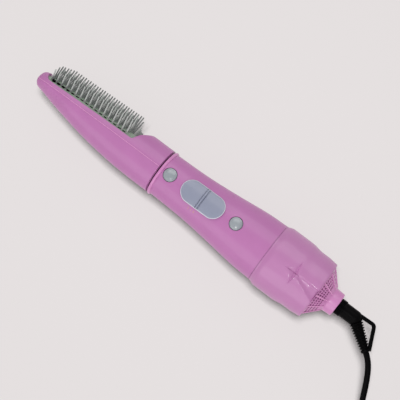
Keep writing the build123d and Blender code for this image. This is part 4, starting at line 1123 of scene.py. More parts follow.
@dataclass
class Controls(Assembly):
    """The release button, the cool-shot button and the slider between them.

    Args:
        handle: The grip that they sit in.
    """

    handle: Handle
    release: tuple = (10.3, 5.9, 15.9, 1.3)
    cool: tuple = (80.9, 5.65, 21.2, 1.1)
    dome: float = 1.5
    dome_steps: int = 8
    rim_in: float = 0.9
    rim_drop: Pair = (1.2, 0.25)
    rim_soft: float = 0.45
    flange: Pair = (0.7, 0.9)
    stem: tuple = (-3.0, 19.8, 0.2, 1.1)
    latch: tuple = ((-8.6, 16.7), (-7.1, 18.6), (-4.6, 18.6), (-4.6, 16.7))
    arm: tuple = (-8.6, 13.7, 15.5, 16.7, 2.8)
    slider_x: float = 45.7
    slider_size: Pair = (43.0, 21.0)
    slider_float: float = 0.3
    slider_rise: float = 1.5
    rim_round: float = 0.95
    # Thickness and face tilts of the pale sheet over the rim, a painted highlight.
    highlight_thick: float = 0.06
    highlight_tilts: Pair = (0.3, 0.95)
    fine_round: float = 0.14
    rib_x: float = 45.4
    rib: Pair = (1.5, 1.0)
    rib_draft: Pair = (0.75, 0.98)
    groove: Pair = (1.0, 0.8)
    strip: float = 1.5
    strips_across: int = 12
    end_sides: int = 28
    fork: tuple = (2.6, 3.0, 18.2)
    fork_overlap: float = 0.2

    def button(self, name: str, sizes: Sequence[float]) -> Piece:
        """A domed round button with its flange, standing along Z.

        Args:
            name: Name of the new piece.
            sizes: Its place along the grip, its radius, its foot and how far it stands out.

        Returns:
            The button.
        """
        x, radius, low, proud = sizes
        top = self.handle.radius(x) + proud
        wide, thick = self.flange
        curve = (radius**2 + self.dome**2) / (2 * self.dome)
        outline = [(low, 0.0), (low, radius + wide), (low + thick, radius + wide), (low + thick, radius)]
        side_top = top - self.dome
        inner = radius - self.rim_in
        down, up = self.rim_drop
        corner = [(side_top - down, radius), (side_top, radius), (side_top + up, inner)]
        outline += softened(corner, [self.rim_soft], 5)
        for step in range(1, self.dome_steps + 1):
            across = inner * (1 - step / self.dome_steps)
            outline.append((top - curve + math.sqrt(curve**2 - across**2), across))
        piece = turned(name, outline, 96)
        piece.data.transform(Matrix.Translation((x, 0, 0)) @ Matrix.Rotation(-QUARTER_TURN, 4, "Y"))
        return piece

    def release_button(self) -> None:
        """The button that frees the head, with its latch arm."""
        cap = self.button("release", self.release)
        front, rear, low, high, half = self.arm
        arm = block("arm", (front, -half, low), (rear, half, high))
        nose = prism("nose", self.latch, -half, half)
        roll(nose, 90, "X")
        for part in (arm, nose):
            round_edges(part, 0.2)
        self.shop.hand_over(cap, Body.RELEASE, BUTTON, "release_button")
        self.shop.hand_over(join("release_latch", [arm, nose]), Body.RELEASE, SHADE_MAROON, "release_button")

    def cool_button(self) -> None:
        """The cool-shot button with the stem that presses its switch."""
        cap = self.button("cool", self.cool)
        x, _, low, _ = self.cool
        back, foot, overlap, radius = self.stem
        stem = upright("stem", x + back, 0, foot, low + overlap, radius, 24)
        self.shop.hand_over(join("cool_button", [cap, stem]), Body.COOL, BUTTON, "cool_button")

    def stadium(self) -> Piece:
        """Lay out the slider's oval.

        Returns:
            The oval as one flat face.
        """
        length, width = self.slider_size
        radius = width / 2
        bpy.ops.mesh.primitive_circle_add(vertices=2 * self.end_sides, radius=radius, fill_type="NGON")
        piece = made("slider")
        with editing(piece):
            for side in (-1, 1):
                pick_points(piece, lambda place: place.x * side > NEAR_MM)
                shift(side * (length / 2 - radius))
            select_all()
            shift(self.slider_x)
        return piece

    def rim_highlight_of(self, piece: Piece) -> Piece:
        """Make a thin pale sheet over the slider's rim, a painted highlight.

        Args:
            piece: The slider, which stays as it is.

        Returns:
            The pale sheet, painted highlight.
        """
        edge = placed("slider_edge", piece.data.copy())
        low, high = self.highlight_tilts
        with editing(edge, "FACE"):
            drop_faces(edge, lambda middle, normal: not low < normal.z < high)
        thicken(edge, self.highlight_thick, 1)
        return edge

    def raise_top(self, piece: Piece, low: float, high: float, rise: float) -> None:
        """Extrude the flat top between two places along the slider.

        Args:
            piece: The slider, in edit mode.
            low: Where the raised part starts.
            high: Where it ends.
            rise: How far it is raised, or sunk where negative.
        """
        top = self.slider_rise - 0.02
        pick_faces(piece, lambda spot, way: low < spot.x < high and spot.z > top and way.z > FACING)
        extrude(z=rise)

    def slider(self) -> None:
        """The long oval slider that follows the grip, with its cross rib between two grooves."""
        length, width = self.slider_size
        piece = self.stadium()
        with editing(piece, "FACE", "SELECT"):
            extrude(z=self.slider_rise)
        close_up(piece)
        round_edges(piece, self.rim_round, 5, 50)
        half_rib, middle = self.rib[0] / 2, self.rib_x
        edge_groove = half_rib + self.groove[0]
        lines = [middle + side * reach for side in (-1, 1) for reach in (half_rib, edge_groove)]
        first_x = self.slider_x - length / 2
        steps = [first_x + self.strip * k for k in range(1, int(length / self.strip))]
        steps = [x for x in steps if abs(x - middle) > edge_groove + 0.4]
        shares = [k / self.strips_across - 0.5 for k in range(1, self.strips_across)]
        with editing(piece):
            for place in sorted(lines + steps):
                cut(0, place)
            for share in shares:
                cut(1, width * share)
        # A pale sheet over the rim: painted highlight along the slider's edge.
        edge = self.rim_highlight_of(piece)
        with editing(piece, "FACE"):
            self.raise_top(piece, middle - edge_groove, middle - half_rib, -self.groove[1])
            self.raise_top(piece, middle + half_rib, middle + edge_groove, -self.groove[1])
            self.raise_top(piece, middle - half_rib, middle + half_rib, self.rib[1])
            swell(*self.rib_draft, 1, (middle, 0, 0))
        round_edges(piece, self.fine_round, 2, 50)
        for part in (piece, edge):
            for point in part.data.vertices:
                point.co.z += self.handle.height(point.co.x, point.co.y, self.slider_float)
        self.shop.hand_over(edge, Body.SLIDER, EDGE, "slider_cap")
        half_length, half_width, low_z = self.fork
        top_z = self.handle.radius(middle) + self.slider_float + self.fork_overlap
        low, high = (middle - half_length, -half_width, low_z), (middle + half_length, half_width, top_z)
        whole = join("slider", [piece, block("fork", low, high)])
        self.shop.hand_over(whole, Body.SLIDER, SLIDER, "slider_cap")

    def build(self) -> None:
        """Build the buttons and the slider."""
        self.release_button()
        self.cool_button()
        self.slider()


# Rear housing and intake grille


@dataclass
class RearHousing(Assembly):
    """The wide rear barrel with its two pinched flutes."""

    corners: tuple = (
        (116.3, 28.2), (117.6, 28.35), (121.3, 29.8), (143.5, 29.8),
        (152.0, 28.3), (160.8, 28.3), (169.8, 27.3), (169.8, 24.6),
    )
    radii: tuple = (2.0, 6.0, 30.0, 30.0, 20.0, 1.2)
    inner: tuple = ((147.0, 24.6), (142.5, 27.6), (128.0, 27.6), (126.5, 26.2), (116.3, 26.2))
    skin: tuple = (150.0, 28.1, 26.8)
    turn: float = 7.5
    star_x: float = 145.5
    star_depth: float = 3.8
    star_front: float = 12.0
    star_across: float = 16.5
    star_rear: float = 5.0
    star_power: float = 0.52
    flute_depth: float = 2.4
    flute_power: float = 0.6
    flute_start: float = 0.8
    flute_wide: Pair = (7.6, 3.3)
    flute_shift: float = -3.6
    segments: int = 352
    row_step: float = 0.62

    def dent(self, x: float, across: float) -> float:
        """How far the surface is pushed in at one place of a flute.

        Args:
            x: Place along the tool.
            across: Distance from the flute's middle line, round the barrel.

        Returns:
            The depth in millimetres.
        """
        run = x - self.star_x
        reach = self.star_rear if run > 0 else self.star_front
        power = self.star_power
        spread = (abs(run) / reach) ** power + (abs(across) / self.star_across) ** power
        star = self.star_depth * max(0.0, 1 - spread)
        along = run / (self.corners[-1][0] - self.star_x)
        if along <= 0:
            return star
        aside = across - self.flute_shift * along
        share = abs(aside) / (self.flute_start + self.flute_wide[0 if aside < 0 else 1] * along)
        flute = self.flute_depth * along**self.flute_power * max(0.0, 1 - share**3)
        return math.hypot(flute, star)

    def is_skin(self, x: float, radius: float) -> bool:
        """Whether a point is on the barrel's outside, where the flutes are pushed in."""
        waist, front, rear = self.skin
        return x > self.star_x - self.star_front and radius > (front if x < waist else rear)

    def build(self) -> None:
        """Turn the barrel and push its two flutes in."""
        outer = finely(softened(self.corners, self.radii, 6), self.row_step)
        piece = turned("rear_housing", [*outer, *self.inner, outer[0]], self.segments)
        for point in piece.data.vertices:
            radius = math.hypot(point.co.y, point.co.z)
            if not self.is_skin(point.co.x, radius):
                continue
            side = 1 if point.co.z > 0 else -1
            across = radius * math.atan2(point.co.y, side * point.co.z)
            share = 1 - self.dent(point.co.x, across) / radius
            point.co.y *= share
            point.co.z *= share
        roll(piece, self.turn, "X")
        # The barrel takes the pink shell's copy with painted sheen.
        self.hand_over(piece, PINK_WITH_PAINTED_SHEEN, "rear_housing", degrees=40)


@dataclass
class IntakeGrille(Assembly):
    """The intake cone, with rings of small slots between raised ribs, and the neck behind it."""

    base: Pair = (169.8, 24.2)
    cone_end: Pair = (181.2, 11.35)
    neck_end: Pair = (190.0, 10.9)
    skirt: float = 7.0
    sectors: int = 12
    cells: int = 13
    first_ring: float = 1.25
    slot_length: float = 1.9
    bar: float = 1.1
    rings: int = 4
    wall: float = 1.7
    raised: float = 0.55
    rib_cap: float = 0.12
    rib_end: float = 0.97
    bend: Pair = (0.86, 3.0)
    lip: tuple = ((0.9, 0.04), (0.25, -0.2), (0.0, -0.8))
    turn: float = 18.5

    @property
    def length(self) -> float:
        """Length of the cone's slope."""
        return math.dist(self.base, self.cone_end)

    def along_cone(self, share: float) -> Pair:
        """A point of the cone's outline at a share of its length."""
        return tuple(start + (end - start) * share for start, end in zip(self.base, self.cone_end))

    def outline(self) -> list[Pair]:
        """Lay out the grille's outline with a ring at each edge of the slots.

        Returns:
            Its (x, radius) pairs.
        """
        places = [(self.base[0] - self.skirt, self.base[1]), self.base]
        run = self.first_ring
        for _ in range(self.rings):
            places += [self.along_cone(share / self.length) for share in (run, run + self.slot_length)]
            run += self.slot_length + self.bar
        end_x, end_radius = self.neck_end
        share, bend = self.bend
        lip = [(end_x - back, end_radius + rise) for back, rise in self.lip]
        return [*places, *softened([self.along_cone(share), self.cone_end, lip[0]], [bend], 5), *lip[1:]]

    def cell(self, middle: Vector) -> int:
        """Number of the cell that a face is in, counted from its sector's rib."""
        angle = math.degrees(math.atan2(middle.y, middle.z)) % 360
        return int(angle / (360 / (self.sectors * self.cells)) + 1e-4) % self.cells

    def run_to(self, middle: Vector) -> float:
        """How far down the cone's slope a face is."""
        return (middle.x - self.base[0]) / ((self.cone_end[0] - self.base[0]) / self.length)

    def is_rib(self, middle: Vector) -> bool:
        """Whether a face is part of a raised rib."""
        return self.cell(middle) == 0 and 0.1 < self.run_to(middle) < self.length * self.rib_end

    def is_slot(self, middle: Vector) -> bool:
        """Whether a face is where a slot is open.

        Args:
            middle: The face's middle.

        Returns:
            True where the face goes.
        """
        cell = self.cell(middle)
        if cell in (0, self.cells - 1) or (cell - 1) % 3 == 2:
            return False
        into = self.run_to(middle) - self.first_ring
        pitch = self.slot_length + self.bar
        return 0 < into < self.rings * pitch - self.bar and into % pitch < self.slot_length

    def build(self) -> None:
        """Extrude the cone ring by ring, open its slots and raise its ribs."""
        piece = hoop("rear_grille", self.sectors * self.cells)
        (x, radius), *rest = self.outline()
        with editing(piece, action="SELECT"):
            shift(x)
            swell(1, radius, radius, (x, 0, 0))
            draw_out([(place, size, size) for place, size in rest], (x, radius, radius))
            select_all()
            bpy.ops.mesh.normals_make_consistent(inside=False)
        with editing(piece, "FACE"):
            pick_faces(piece, lambda middle, normal: self.is_rib(middle))
            bpy.ops.mesh.extrude_region_shrink_fatten(TRANSFORM_OT_shrink_fatten={"value": self.raised})
            bpy.ops.mesh.duplicate()
            bpy.ops.mesh.separate(type="SELECTED")
            drop_faces(piece, lambda middle, normal: self.is_slot(middle) and normal.x > 0.2)
        ribs = next(other for other in bpy.context.selected_objects if other is not piece)
        ribs.name = "grille_ribs"
        thicken(piece, self.wall, even=False)
        round_edges(piece, 0.16, 2, 40)
        thicken(ribs, self.rib_cap, 1)
        round_edges(ribs, 0.05, 1, 40)
        for part, finish in ((piece, PALE), (ribs, RIB_AND_HIGHLIGHT)):
            roll(part, self.turn, "X")
            self.hand_over(part, finish, "rear_grille")


# Swivel, strain relief and hanging loop


@dataclass
class Swivel(Assembly):
    """The black collar, the strain relief with its ribs, and the strap over its bend."""

    body: ClassVar[Body] = Body.CORD
    face_x: float = 190.4
    spindle: Pair = (175.0, 5.5)
    collar: Pair = (5.6, 7.5)
    collar_chamfer: float = 0.5
    collar_grips: tuple = (1.5, 2.6, 3.7)
    grip_cut: Pair = (0.25, 0.3)
    sleeve_length: float = 11.6
    sleeve_radius: float = 6.75
    knuckle_steps: int = 8
    bend: float = 35.6
    taper_length: float = 30.5
    taper_radii: Pair = (6.2, 3.9)
    taper_end: tuple = ((0.9, 0.0), (0.3, 0.25), (0.0, 0.9))
    ribs: int = 12
    rib_pitch: float = 2.3
    rib_start: float = 1.6
    rib_groove: float = 1.1
    groove_share: float = 0.42
    groove_flank: tuple = ((-0.25, 0.0), (0.0, 0.25), (0.2, 1.0))
    strap_points: tuple = ((204.6, 4.2), (224.7, 5.1), (233.8, -15.2))
    strap_round: float = 3.7
    strap_size: Pair = (4.2, 3.2)
    strap_corner: float = 0.75
    strap_step: float = 1.5

    @property
    def sleeve_x(self) -> float:
        """Where the sleeve starts."""
        return self.face_x + self.collar[0]

    @property
    def bend_x(self) -> float:
        """Where the strain relief bends."""
        return self.sleeve_x + self.sleeve_length

    def collar_piece(self) -> None:
        """The spindle and the collar that turn with the cord."""
        start, radius = self.spindle
        length, wide = self.collar
        end, chamfer = self.face_x + length, self.collar_chamfer
        half, deep = self.grip_cut
        grips = []
        for place in self.collar_grips:
            x = self.face_x + place
            grips += [(x, wide), (x + half, wide - deep), (x + 2 * half, wide)]
        outline = [(start, 0.0), (start, radius), (self.face_x, radius), (self.face_x, wide - chamfer)]
        outline += [(self.face_x + chamfer, wide), *grips, (end - chamfer, wide)]
        outline += [(end, wide - chamfer), (end, 0.0)]
        self.hand_over(turned("swivel_collar", outline, 96), BLACK_PLASTIC, "swivel_collar")

    def taper_radius(self, along: float) -> float:
        """Radius of the ribbed part some way along it."""
        first, last = self.taper_radii
        return first + (last - first) * along / self.taper_length

    def taper(self) -> Piece:
        """Turn the ribbed taper and bend it to one side.

        Returns:
            The taper.
        """
        outline = [(0.0, 0.0), (0.0, self.taper_radii[0])]
        for rib in range(self.ribs):
            start = self.rib_start + rib * self.rib_pitch
            crest = start + self.rib_pitch * self.groove_share
            far = crest + self.groove_flank[-1][0]
            flanks = [(start + run, sunk) for run, sunk in self.groove_flank]
            flanks += [(far - run, sunk) for run, sunk in reversed(self.groove_flank)]
            outline += [(place, self.taper_radius(place) - self.rib_groove * sunk) for place, sunk in flanks]
        end, radius = self.taper_length, self.taper_radii[1]
        outline += [(end - back, radius - sunk) for back, sunk in self.taper_end]
        piece = turned("taper", [*outline, (end, 0.0)], 64)
        turn = Matrix.Rotation(-math.radians(self.bend), 4, "Z")
        piece.data.transform(Matrix.Translation((self.bend_x, 0, 0)) @ turn)
        return piece

    def relief(self) -> None:
        """The rubber strain relief: a sleeve, a knuckle and the ribbed taper."""
        radius = self.sleeve_radius
        turns = [QUARTER_TURN * step / self.knuckle_steps for step in range(1, self.knuckle_steps + 1)]
        knuckle = [(self.bend_x + radius * math.sin(turn), radius * math.cos(turn)) for turn in turns]
        sleeve = [(self.sleeve_x, 0.0), (self.sleeve_x, radius), (self.bend_x, radius), *knuckle]
        parts = [turned("sleeve", sleeve, 80), self.taper()]
        self.hand_over(join("strain_relief", parts), RUBBER, "strain_relief")

    def strap(self) -> None:
        """The strap that bridges the outside of the bend, to hang the tool by."""
        path = finely(softened(self.strap_points, [self.strap_round], 10), self.strap_step)
        ways = []
        for here, there in zip([path[0], *path[:-1]], [*path[1:], path[-1]]):
            ways.append(math.atan2(there[1] - here[1], there[0] - here[0]))
        width, thickness = self.strap_size
        bpy.ops.mesh.primitive_plane_add(size=1, rotation=(0, QUARTER_TURN, 0))
        piece = made("hang_loop")
        with editing(piece, action="SELECT"):
            swell(1, thickness, width, (0, 0, 0))
            bpy.ops.mesh.bevel(offset=self.strap_corner, segments=3, affect="VERTICES")
            select_all()
            shift(*path[0])
            turn, before = 0.0, None
            for place, way in zip(path, ways):
                if before:
                    extrude(place[0] - before[0], place[1] - before[1])
                mesh = bmesh.from_edit_mesh(piece.data)
                picked = [point for point in mesh.verts if point.select]
                spin = Matrix.Rotation(way - turn, 4, "Z")
                bmesh.ops.rotate(mesh, cent=(*place, 0), matrix=spin, verts=picked)
                bmesh.update_edit_mesh(piece.data)
                turn, before = way, place
        close_up(piece)
        self.hand_over(piece, RUBBER, "hang_loop")

    def build(self) -> None:
        """Build everything that turns with the cord, but the cord itself."""
        self.collar_piece()
        self.relief()
        self.strap()


@dataclass
class Plug(Assembly):
    """The moulded two-pin plug with its ribbed tail."""

    body: ClassVar[Body] = Body.CORD
    start: Triple = (374.7, -62.05, 13.0)
    tail_length: float = 14.0
    tail_radius: float = 5.0
    tail_mouth: tuple = ((0.0, 0.0), (0.0, 3.3), (0.4, 3.65))
    tail_rib: tuple = (2.0, 3.0, 1.2, 3.9, 0.25)
    tail_ribs: int = 4
    tail_groove: Triple = (3.0, 0.2, 0.1)
    tail_overlap: float = 0.5
    neck: Pair = (13.0, 12.0)
    shoulder_length: float = 18.0
    shoulder_steps: int = 7
    body_length: float = 18.0
    body_size: Pair = (37.0, 26.0)
    corner: float = 12.4
    face_rim: Pair = (2.2, 0.5)
    edge_round: float = 0.7
    grooves: int = 4
    groove: tuple = (1.5, 3.4, 1.3, 0.7)
    pin_radius: float = 2.4
    pin_length: float = 19.0
    pin_spacing: float = 19.0
    pin_root: Pair = (4.0, 2.0)
    pin_tip: tuple = ((1.5, 1.0), (0.6, 0.86), (0.15, 0.6), (0.0, 0.3))

    @property
    def shoulder_x(self) -> float:
        """Where the shoulder ends and the body starts, from the plug's tail."""
        return self.tail_length + self.shoulder_length

    @property
    def face_x(self) -> float:
        """Where the plug's face is, from its tail."""
        return self.shoulder_x + self.body_length

    def tail(self) -> Piece:
        """Turn the ribbed tail round the cord.

        Returns:
            The tail.
        """
        outline = list(self.tail_mouth)
        first, pitch, wide, low, growth = self.tail_rib
        core, flank, rise = self.tail_groove
        for rib in range(self.tail_ribs):
            start, outer = first + rib * pitch, low + growth * rib
            end = start + wide
            outline += [(start - flank, outer), (start, core), (end, core), (end + flank, outer + rise)]
        end = self.tail_length + self.tail_overlap
        return turned("tail", [*outline, (end, self.tail_radius), (end, 0.0)], 48)

    def shaped(self) -> Piece:
        """Shape the rounded body with its shoulder and a raised rim on its face.

        Returns:
            The body.
        """
        low_x = self.shoulder_x
        width, height = self.body_size
        piece = block("plug", (low_x, -width / 2, -height / 2), (self.face_x, width / 2, height / 2))
        with editing(piece, "EDGE"):
            pick(piece, "edges", lambda edge: abs(edge.verts[0].co.x - edge.verts[1].co.x) > 1)
            bpy.ops.mesh.bevel(offset=self.corner, segments=9, affect="EDGES")
        sections = []
        for step in range(1, self.shoulder_steps + 1):
            share = step / self.shoulder_steps
            ease = share * share * (3 - 2 * share)
            sizes = [1 + (neck / size - 1) * ease for neck, size in zip(self.neck, self.body_size)]
            sections.append((low_x - self.shoulder_length * share, *sizes))
        rim, sunk = self.face_rim
        with editing(piece, "FACE"):
            pick_faces(piece, lambda middle, normal: normal.x < -FACING)
            draw_out(sections, (low_x, 1.0, 1.0))
            pick_faces(piece, lambda middle, normal: normal.x > FACING)
            bpy.ops.mesh.inset(thickness=rim)
            extrude(-sunk)
        round_edges(piece, self.edge_round, 3, 40)
        return piece

    def shell(self) -> Piece:
        """Cut the grip grooves and the sockets of the pins into the body.

        Returns:
            The body.
        """
        piece = self.shaped()
        width = self.body_size[0]
        first, pitch, wide, deep = self.groove
        for side in (-1, 1):
            for groove in range(self.grooves):
                x = self.shoulder_x + first + groove * pitch
                low, high = (x, side * width / 2 - deep, -20), (x + wide, side * width / 2 + deep, 20)
                combine(piece, block("groove", low, high))
        deep, root = self.pin_root
        low, high = self.face_x - deep, self.face_x + 1
        for place in self.pin_places():
            socket = turned("socket", [(low, 0), (low, root), (high, root), (high, 0)], 32)
            socket.data.transform(place)
            combine(piece, socket)
        return piece

    def pin_places(self) -> list[Matrix]:
        """Where the two pins stand."""
        return [Matrix.Translation((0, side * self.pin_spacing / 2, 0)) for side in (-1, 1)]

    def pins(self) -> Piece:
        """Turn the two round pins.

        Returns:
            Both pins as one piece.
        """
        deep, root = self.pin_root
        low, neck, tip = self.face_x - deep, self.face_x - 0.5, self.face_x + self.pin_length
        outline = [(low, 0.0), (low, root), (neck, root), (neck, self.pin_radius)]
        outline += [(tip - back, self.pin_radius * share) for back, share in self.pin_tip]
        pin = turned("pin", [*outline, (tip, 0.0)], 40)
        return join("plug_contacts", copies(pin, self.pin_places()))

    def build(self) -> list[Piece]:
        """Build the plug and its pins.

        Returns:
            Both pieces, for the cord that they belong to.
        """
        body, pins = join("mains_plug", [self.shell(), self.tail()]), self.pins()
        placement = self.shop.placement
        to_floor = Matrix.Translation(placement.floor_point(*self.start)) @ Matrix.Scale(MM, 4)
        for piece in (body, pins):
            piece.data.transform(placement.matrix.inverted() @ to_floor)
        self.hand_over(body, RUBBER, "plug_body", degrees=38)
        self.hand_over(pins, PIN, "plug_pins")
        return [body, pins]


# Cord


@dataclass
class MainsCord:
    """The mains cord: out of the strain relief, along the table, into a put-away coil and on to its plug.

    Args:
        placement: How the tool lies.
        relief: The strain relief that it leaves.
    """

    placement: Placement
    relief: Swivel
    diameter: float = 5.2
    length: float = 1.79
    exit_run: float = 8.5
    lead: tuple = (
        (248.6, -38.8, 27.2), (257.0, -56.0, 17.5), (271.0, -67.5, 7.6),
        (288.0, -69.8, 2.6), (304.0, -66.9, 2.6), (319.0, -62.05, 2.6),
    )
    tail: tuple = ((364.7, -62.05, 13.0), (374.7, -62.05, 13.0))
    tail_run: float = 10.0
    coil_centre: Pair = (334.0, -27.0)
    coil_inner: float = 22.0
    coil_layers: int = 4
    coil_quarters: int = 9
    coil_step: float = 5.8
    points_per_quarter: int = 3

    def relief_point(self, run: float) -> Vector:
        """A point on the strain relief's own line, in metres."""
        turn = math.radians(self.relief.bend)
        return self.placement.point(self.relief.bend_x + run * math.cos(turn), -run * math.sin(turn), 0)

    def coil_point(self, quarter: float) -> Vector:
        """A point of the coil's centre line after some quarter turns.

        Args:
            quarter: Quarter turns from the coil's start, which climb a layer after every few.

        Returns:
            The point, in metres.
        """
        layer = min(int(quarter // self.coil_quarters), self.coil_layers - 1)
        into = quarter - layer * self.coil_quarters
        outer = self.coil_inner + self.coil_step * self.coil_quarters / 4
        inward = layer % 2 == 0
        radius = outer - self.coil_step * into / 4 if inward else self.coil_inner + self.coil_step * into / 4
        height = self.diameter / 2
        for step in range(1, self.coil_layers):
            climb = min(1.0, max(0.0, (quarter - self.coil_quarters * step + 1) / 2))
            height += self.coil_step * climb * climb * (3 - 2 * climb)
        angle = math.radians(90 * quarter - 90)
        x = self.coil_centre[0] + radius * math.cos(angle)
        y = self.coil_centre[1] + radius * math.sin(angle)
        return self.placement.floor_point(x, y, height)

    def route(self) -> list[Vector]:
        """Lay the cord from the strain relief to the plug.

        Returns:
            Its control points in metres.
        """
        start = self.relief.taper_length
        points = [self.relief_point(run) for run in (start, start + self.exit_run)]
        points += [self.placement.floor_point(*point) for point in self.lead]
        last = self.coil_layers * self.coil_quarters * self.points_per_quarter
        points += [self.coil_point(k / self.points_per_quarter) for k in range(last + 1)]
        way = (points[-1] - points[-2]).normalized()
        points.append(points[-1] + way * (self.diameter + self.tail_run) * MM)
        points += [self.placement.floor_point(*point) for point in self.tail]
        return points

    def build(self, shop: Shop, plug: Sequence[Piece]) -> None:
        """Args:
            shop: Where the cord gets its finish.
            plug: The pieces at its far end, not used.
        """
        curve = bpy.data.curves.new("mains_cord", "CURVE")
        curve.dimensions = "3D"
        curve.bevel_depth = self.diameter / 2 * MM
        curve.bevel_resolution = 5
        curve.resolution_u = 6
        curve.use_fill_caps = True
        points = self.route()
        spline = curve.splines.new("NURBS")
        spline.points.add(len(points) - 1)
        for point, place in zip(spline.points, points):
            point.co = (*place, 1.0)
        spline.order_u = 3
        spline.use_endpoint_u = True
        piece = placed("mains_cord", curve)
        piece.data.materials.append(shop.material(RUBBER))
        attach(piece, Body.CORD.value)
        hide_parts("cord", "cord_coil", "cord_tail")
        LOG.info("%s: %d control points", piece.name, len(points))


# Brush head


@dataclass
class BrushHead(Assembly):
    """The pull-off head: a back shell, a front shell with the bristle opening, and the bristle insert."""

    body: ClassVar[Body] = Body.HEAD
    tip_x: float = -139.2
    end_x: float = -1.7
    ovals: tuple = (
        (-139.2, 8.6, 4.6, 9.4), (-129.8, 13.2, 6.6, 11.6), (-108.8, 16.2, 11.3, 14.4),
        (-76.8, 18.8, 16.9, 18.6), (-44.8, 20.6, 20.3, 20.6), (-20.8, 21.2, 21.2, 21.2),
    )
    wall: float = 2.0
    ramp_wall: float = 5.5
    ramp_lift: float = 1.0
    hollow_foot: Pair = (-35.9, 5.2)
    hollow_top: float = 8.0
    hollow_round: float = 9.0
    front_proud: float = 0.2
    bead: Triple = (0.35, 0.05, 0.5)
    bead_round: float = 0.12
    tip_round: float = 3.0
    ring_step: float = 3.0
    support: float = 0.5
    sides: int = 112
    deck: tuple = ((-133.2, 3.4), (-40.1, 4.9))
    deck_reach: float = 40.0
    ramp_reach: float = 30.0
    bed_top: Pair = (26.0, 31.0)
    crown_ends: Pair = (-1.0, 25.0)
    lip_radius: float = 7.0
    lip_steps: int = 10
    edge_round: float = 0.35
    part_line: float = 0.22
    pad_crown: Pair = (10.0, 11.8)
    pad_arc: Pair = (18.5, 30.0)
    pad_low: float = 1.2
    pad_gap: float = 0.12
    slot_size: Triple = (2.9, 2.3, 17.0)
    # The dark sheets in the air slots are painted shade: their size and play, and how deep they sit.
    liner: Pair = (2.5, 0.04)
    shade_liner_sunk: float = 0.1
    pitch: float = 5.25
    rows: int = 7
    row_reach: float = 34.0
    row_lean: float = 1.38
    first_x: float = -127.2
    last_x: float = -43.1
    lengths: Pair = (16.3, 17.7)
    drops: Pair = (1.15, 0.4)
    root: float = 1.5
    shortest: float = 0.84
    growth: float = 0.08
    bristle_outline: tuple = (
        (-1.5, 0.0), (-1.5, 0.98), (0.1, 0.98), (0.5, 0.84), (1.4, 0.78),
        (9.0, 0.7), (17.1, 0.62), (17.5, 0.5), (17.7, 0.25), (17.7, 0.0),
    )
    bristle_sides: int = 10
    tongue: tuple = (9.0, 1.2, 4.5)
    pegs: tuple = ((-37.2, 9.5), (-33.7, 4.4))
    peg_spread: float = 6.0
    peg_lift: float = 0.9

    def along(self, x: float, values: Sequence[float]) -> float:
        """A value that runs evenly along the deck."""
        share = (x - self.deck[0][0]) / (self.deck[1][0] - self.deck[0][0])
        return values[0] + share * (values[1] - values[0])

    def ramp_point(self, height: float, back: float = 0.0) -> Pair:
        """A point on the ramp at a height over its foot, or that far inside its wall."""
        foot_x, foot_y = self.deck[1]
        return foot_x + height + back * math.sqrt(2), foot_y + height

    def ramp_line(self, height: float) -> list[Pair]:
        """The line down the ramp from a height, hollowed out at its foot."""
        corners = [self.ramp_point(height), self.ramp_point(self.hollow_top), self.hollow_foot]
        return softened(corners, [self.hollow_round], 5)

    def form(self, name: str, inset: float = 0.0) -> Piece:
        """The head's outer form, or the same form drawn in, as a closed solid.

        Args:
            name: Name of the new piece.
            inset: How far it is drawn in.

        Returns:
            The closed form, from its rounded tip to its round rear end.
        """
        tip_round = max(self.tip_round - inset, 1.0)
        tip_x = self.tip_x + inset
        rings = []
        for step in range(6):
            turn = step * math.pi / 10
            rings.append((tip_x + tip_round * (1 - math.cos(turn)), inset + tip_round * (1 - math.sin(turn))))
        round_x = self.ovals[-1][0]
        count = math.ceil((round_x - rings[-1][0]) / self.ring_step)
        start = rings[-1][0]
        rings += [(start + (round_x - start) * k / count, inset) for k in range(1, count + 1)]
        rings += [(self.end_x - self.support, inset), (self.end_x, inset)]
        piece = hoop(name, self.sides)
        before = (0.0, 1.0, 1.0, 1.0)
        with editing(piece, action="SELECT"):
            for index, (x, drawn) in enumerate(rings):
                width, depth, rise = (size - drawn for size in smooth_between(self.ovals, x))
                if index:
                    extrude(x - before[0])
                else:
                    shift(x)
                middle = (x, 0, 0)
                swell(1, 1, width / before[1], middle)
                pick_points(piece, lambda place: place.x > x - NEAR_MM and place.y < -1e-4)
                swell(1, depth / before[2], 1, middle)
                pick_points(piece, lambda place: place.x > x - NEAR_MM and place.y > 1e-4)
                swell(1, rise / before[3], 1, middle)
                pick_points(piece, lambda place: place.x > x - NEAR_MM)
                before = (x, width, depth, rise)
            bpy.ops.mesh.edge_face_add()
            pick_points(piece, lambda place: place.x < rings[0][0] + NEAR_MM)
            bpy.ops.mesh.edge_face_add()
        close_up(piece)
        return piece

    def sheet(self, name: str, proud: float, low: float | None, high: float | None, wall: float) -> Piece:
        """Part of the head's skin between two planes across the bristles' way, with a wall inwards.

        Args:
            name: Name of the new piece.
            proud: How far it stands out.
            low: Where it starts, or None where nothing is cut away.
            high: Where it ends, or None.
            wall: Its wall.

        Returns:
            The open shell.
        """
        piece = self.form(name, -proud)
        with editing(piece, "FACE"):
            drop_faces(piece, lambda middle, normal: middle.x > self.end_x - NEAR_MM)
            if low is not None:
                cut(1, low, "above")
            if high is not None:
                cut(1, high, "below")
        thicken(piece, wall)
        return piece

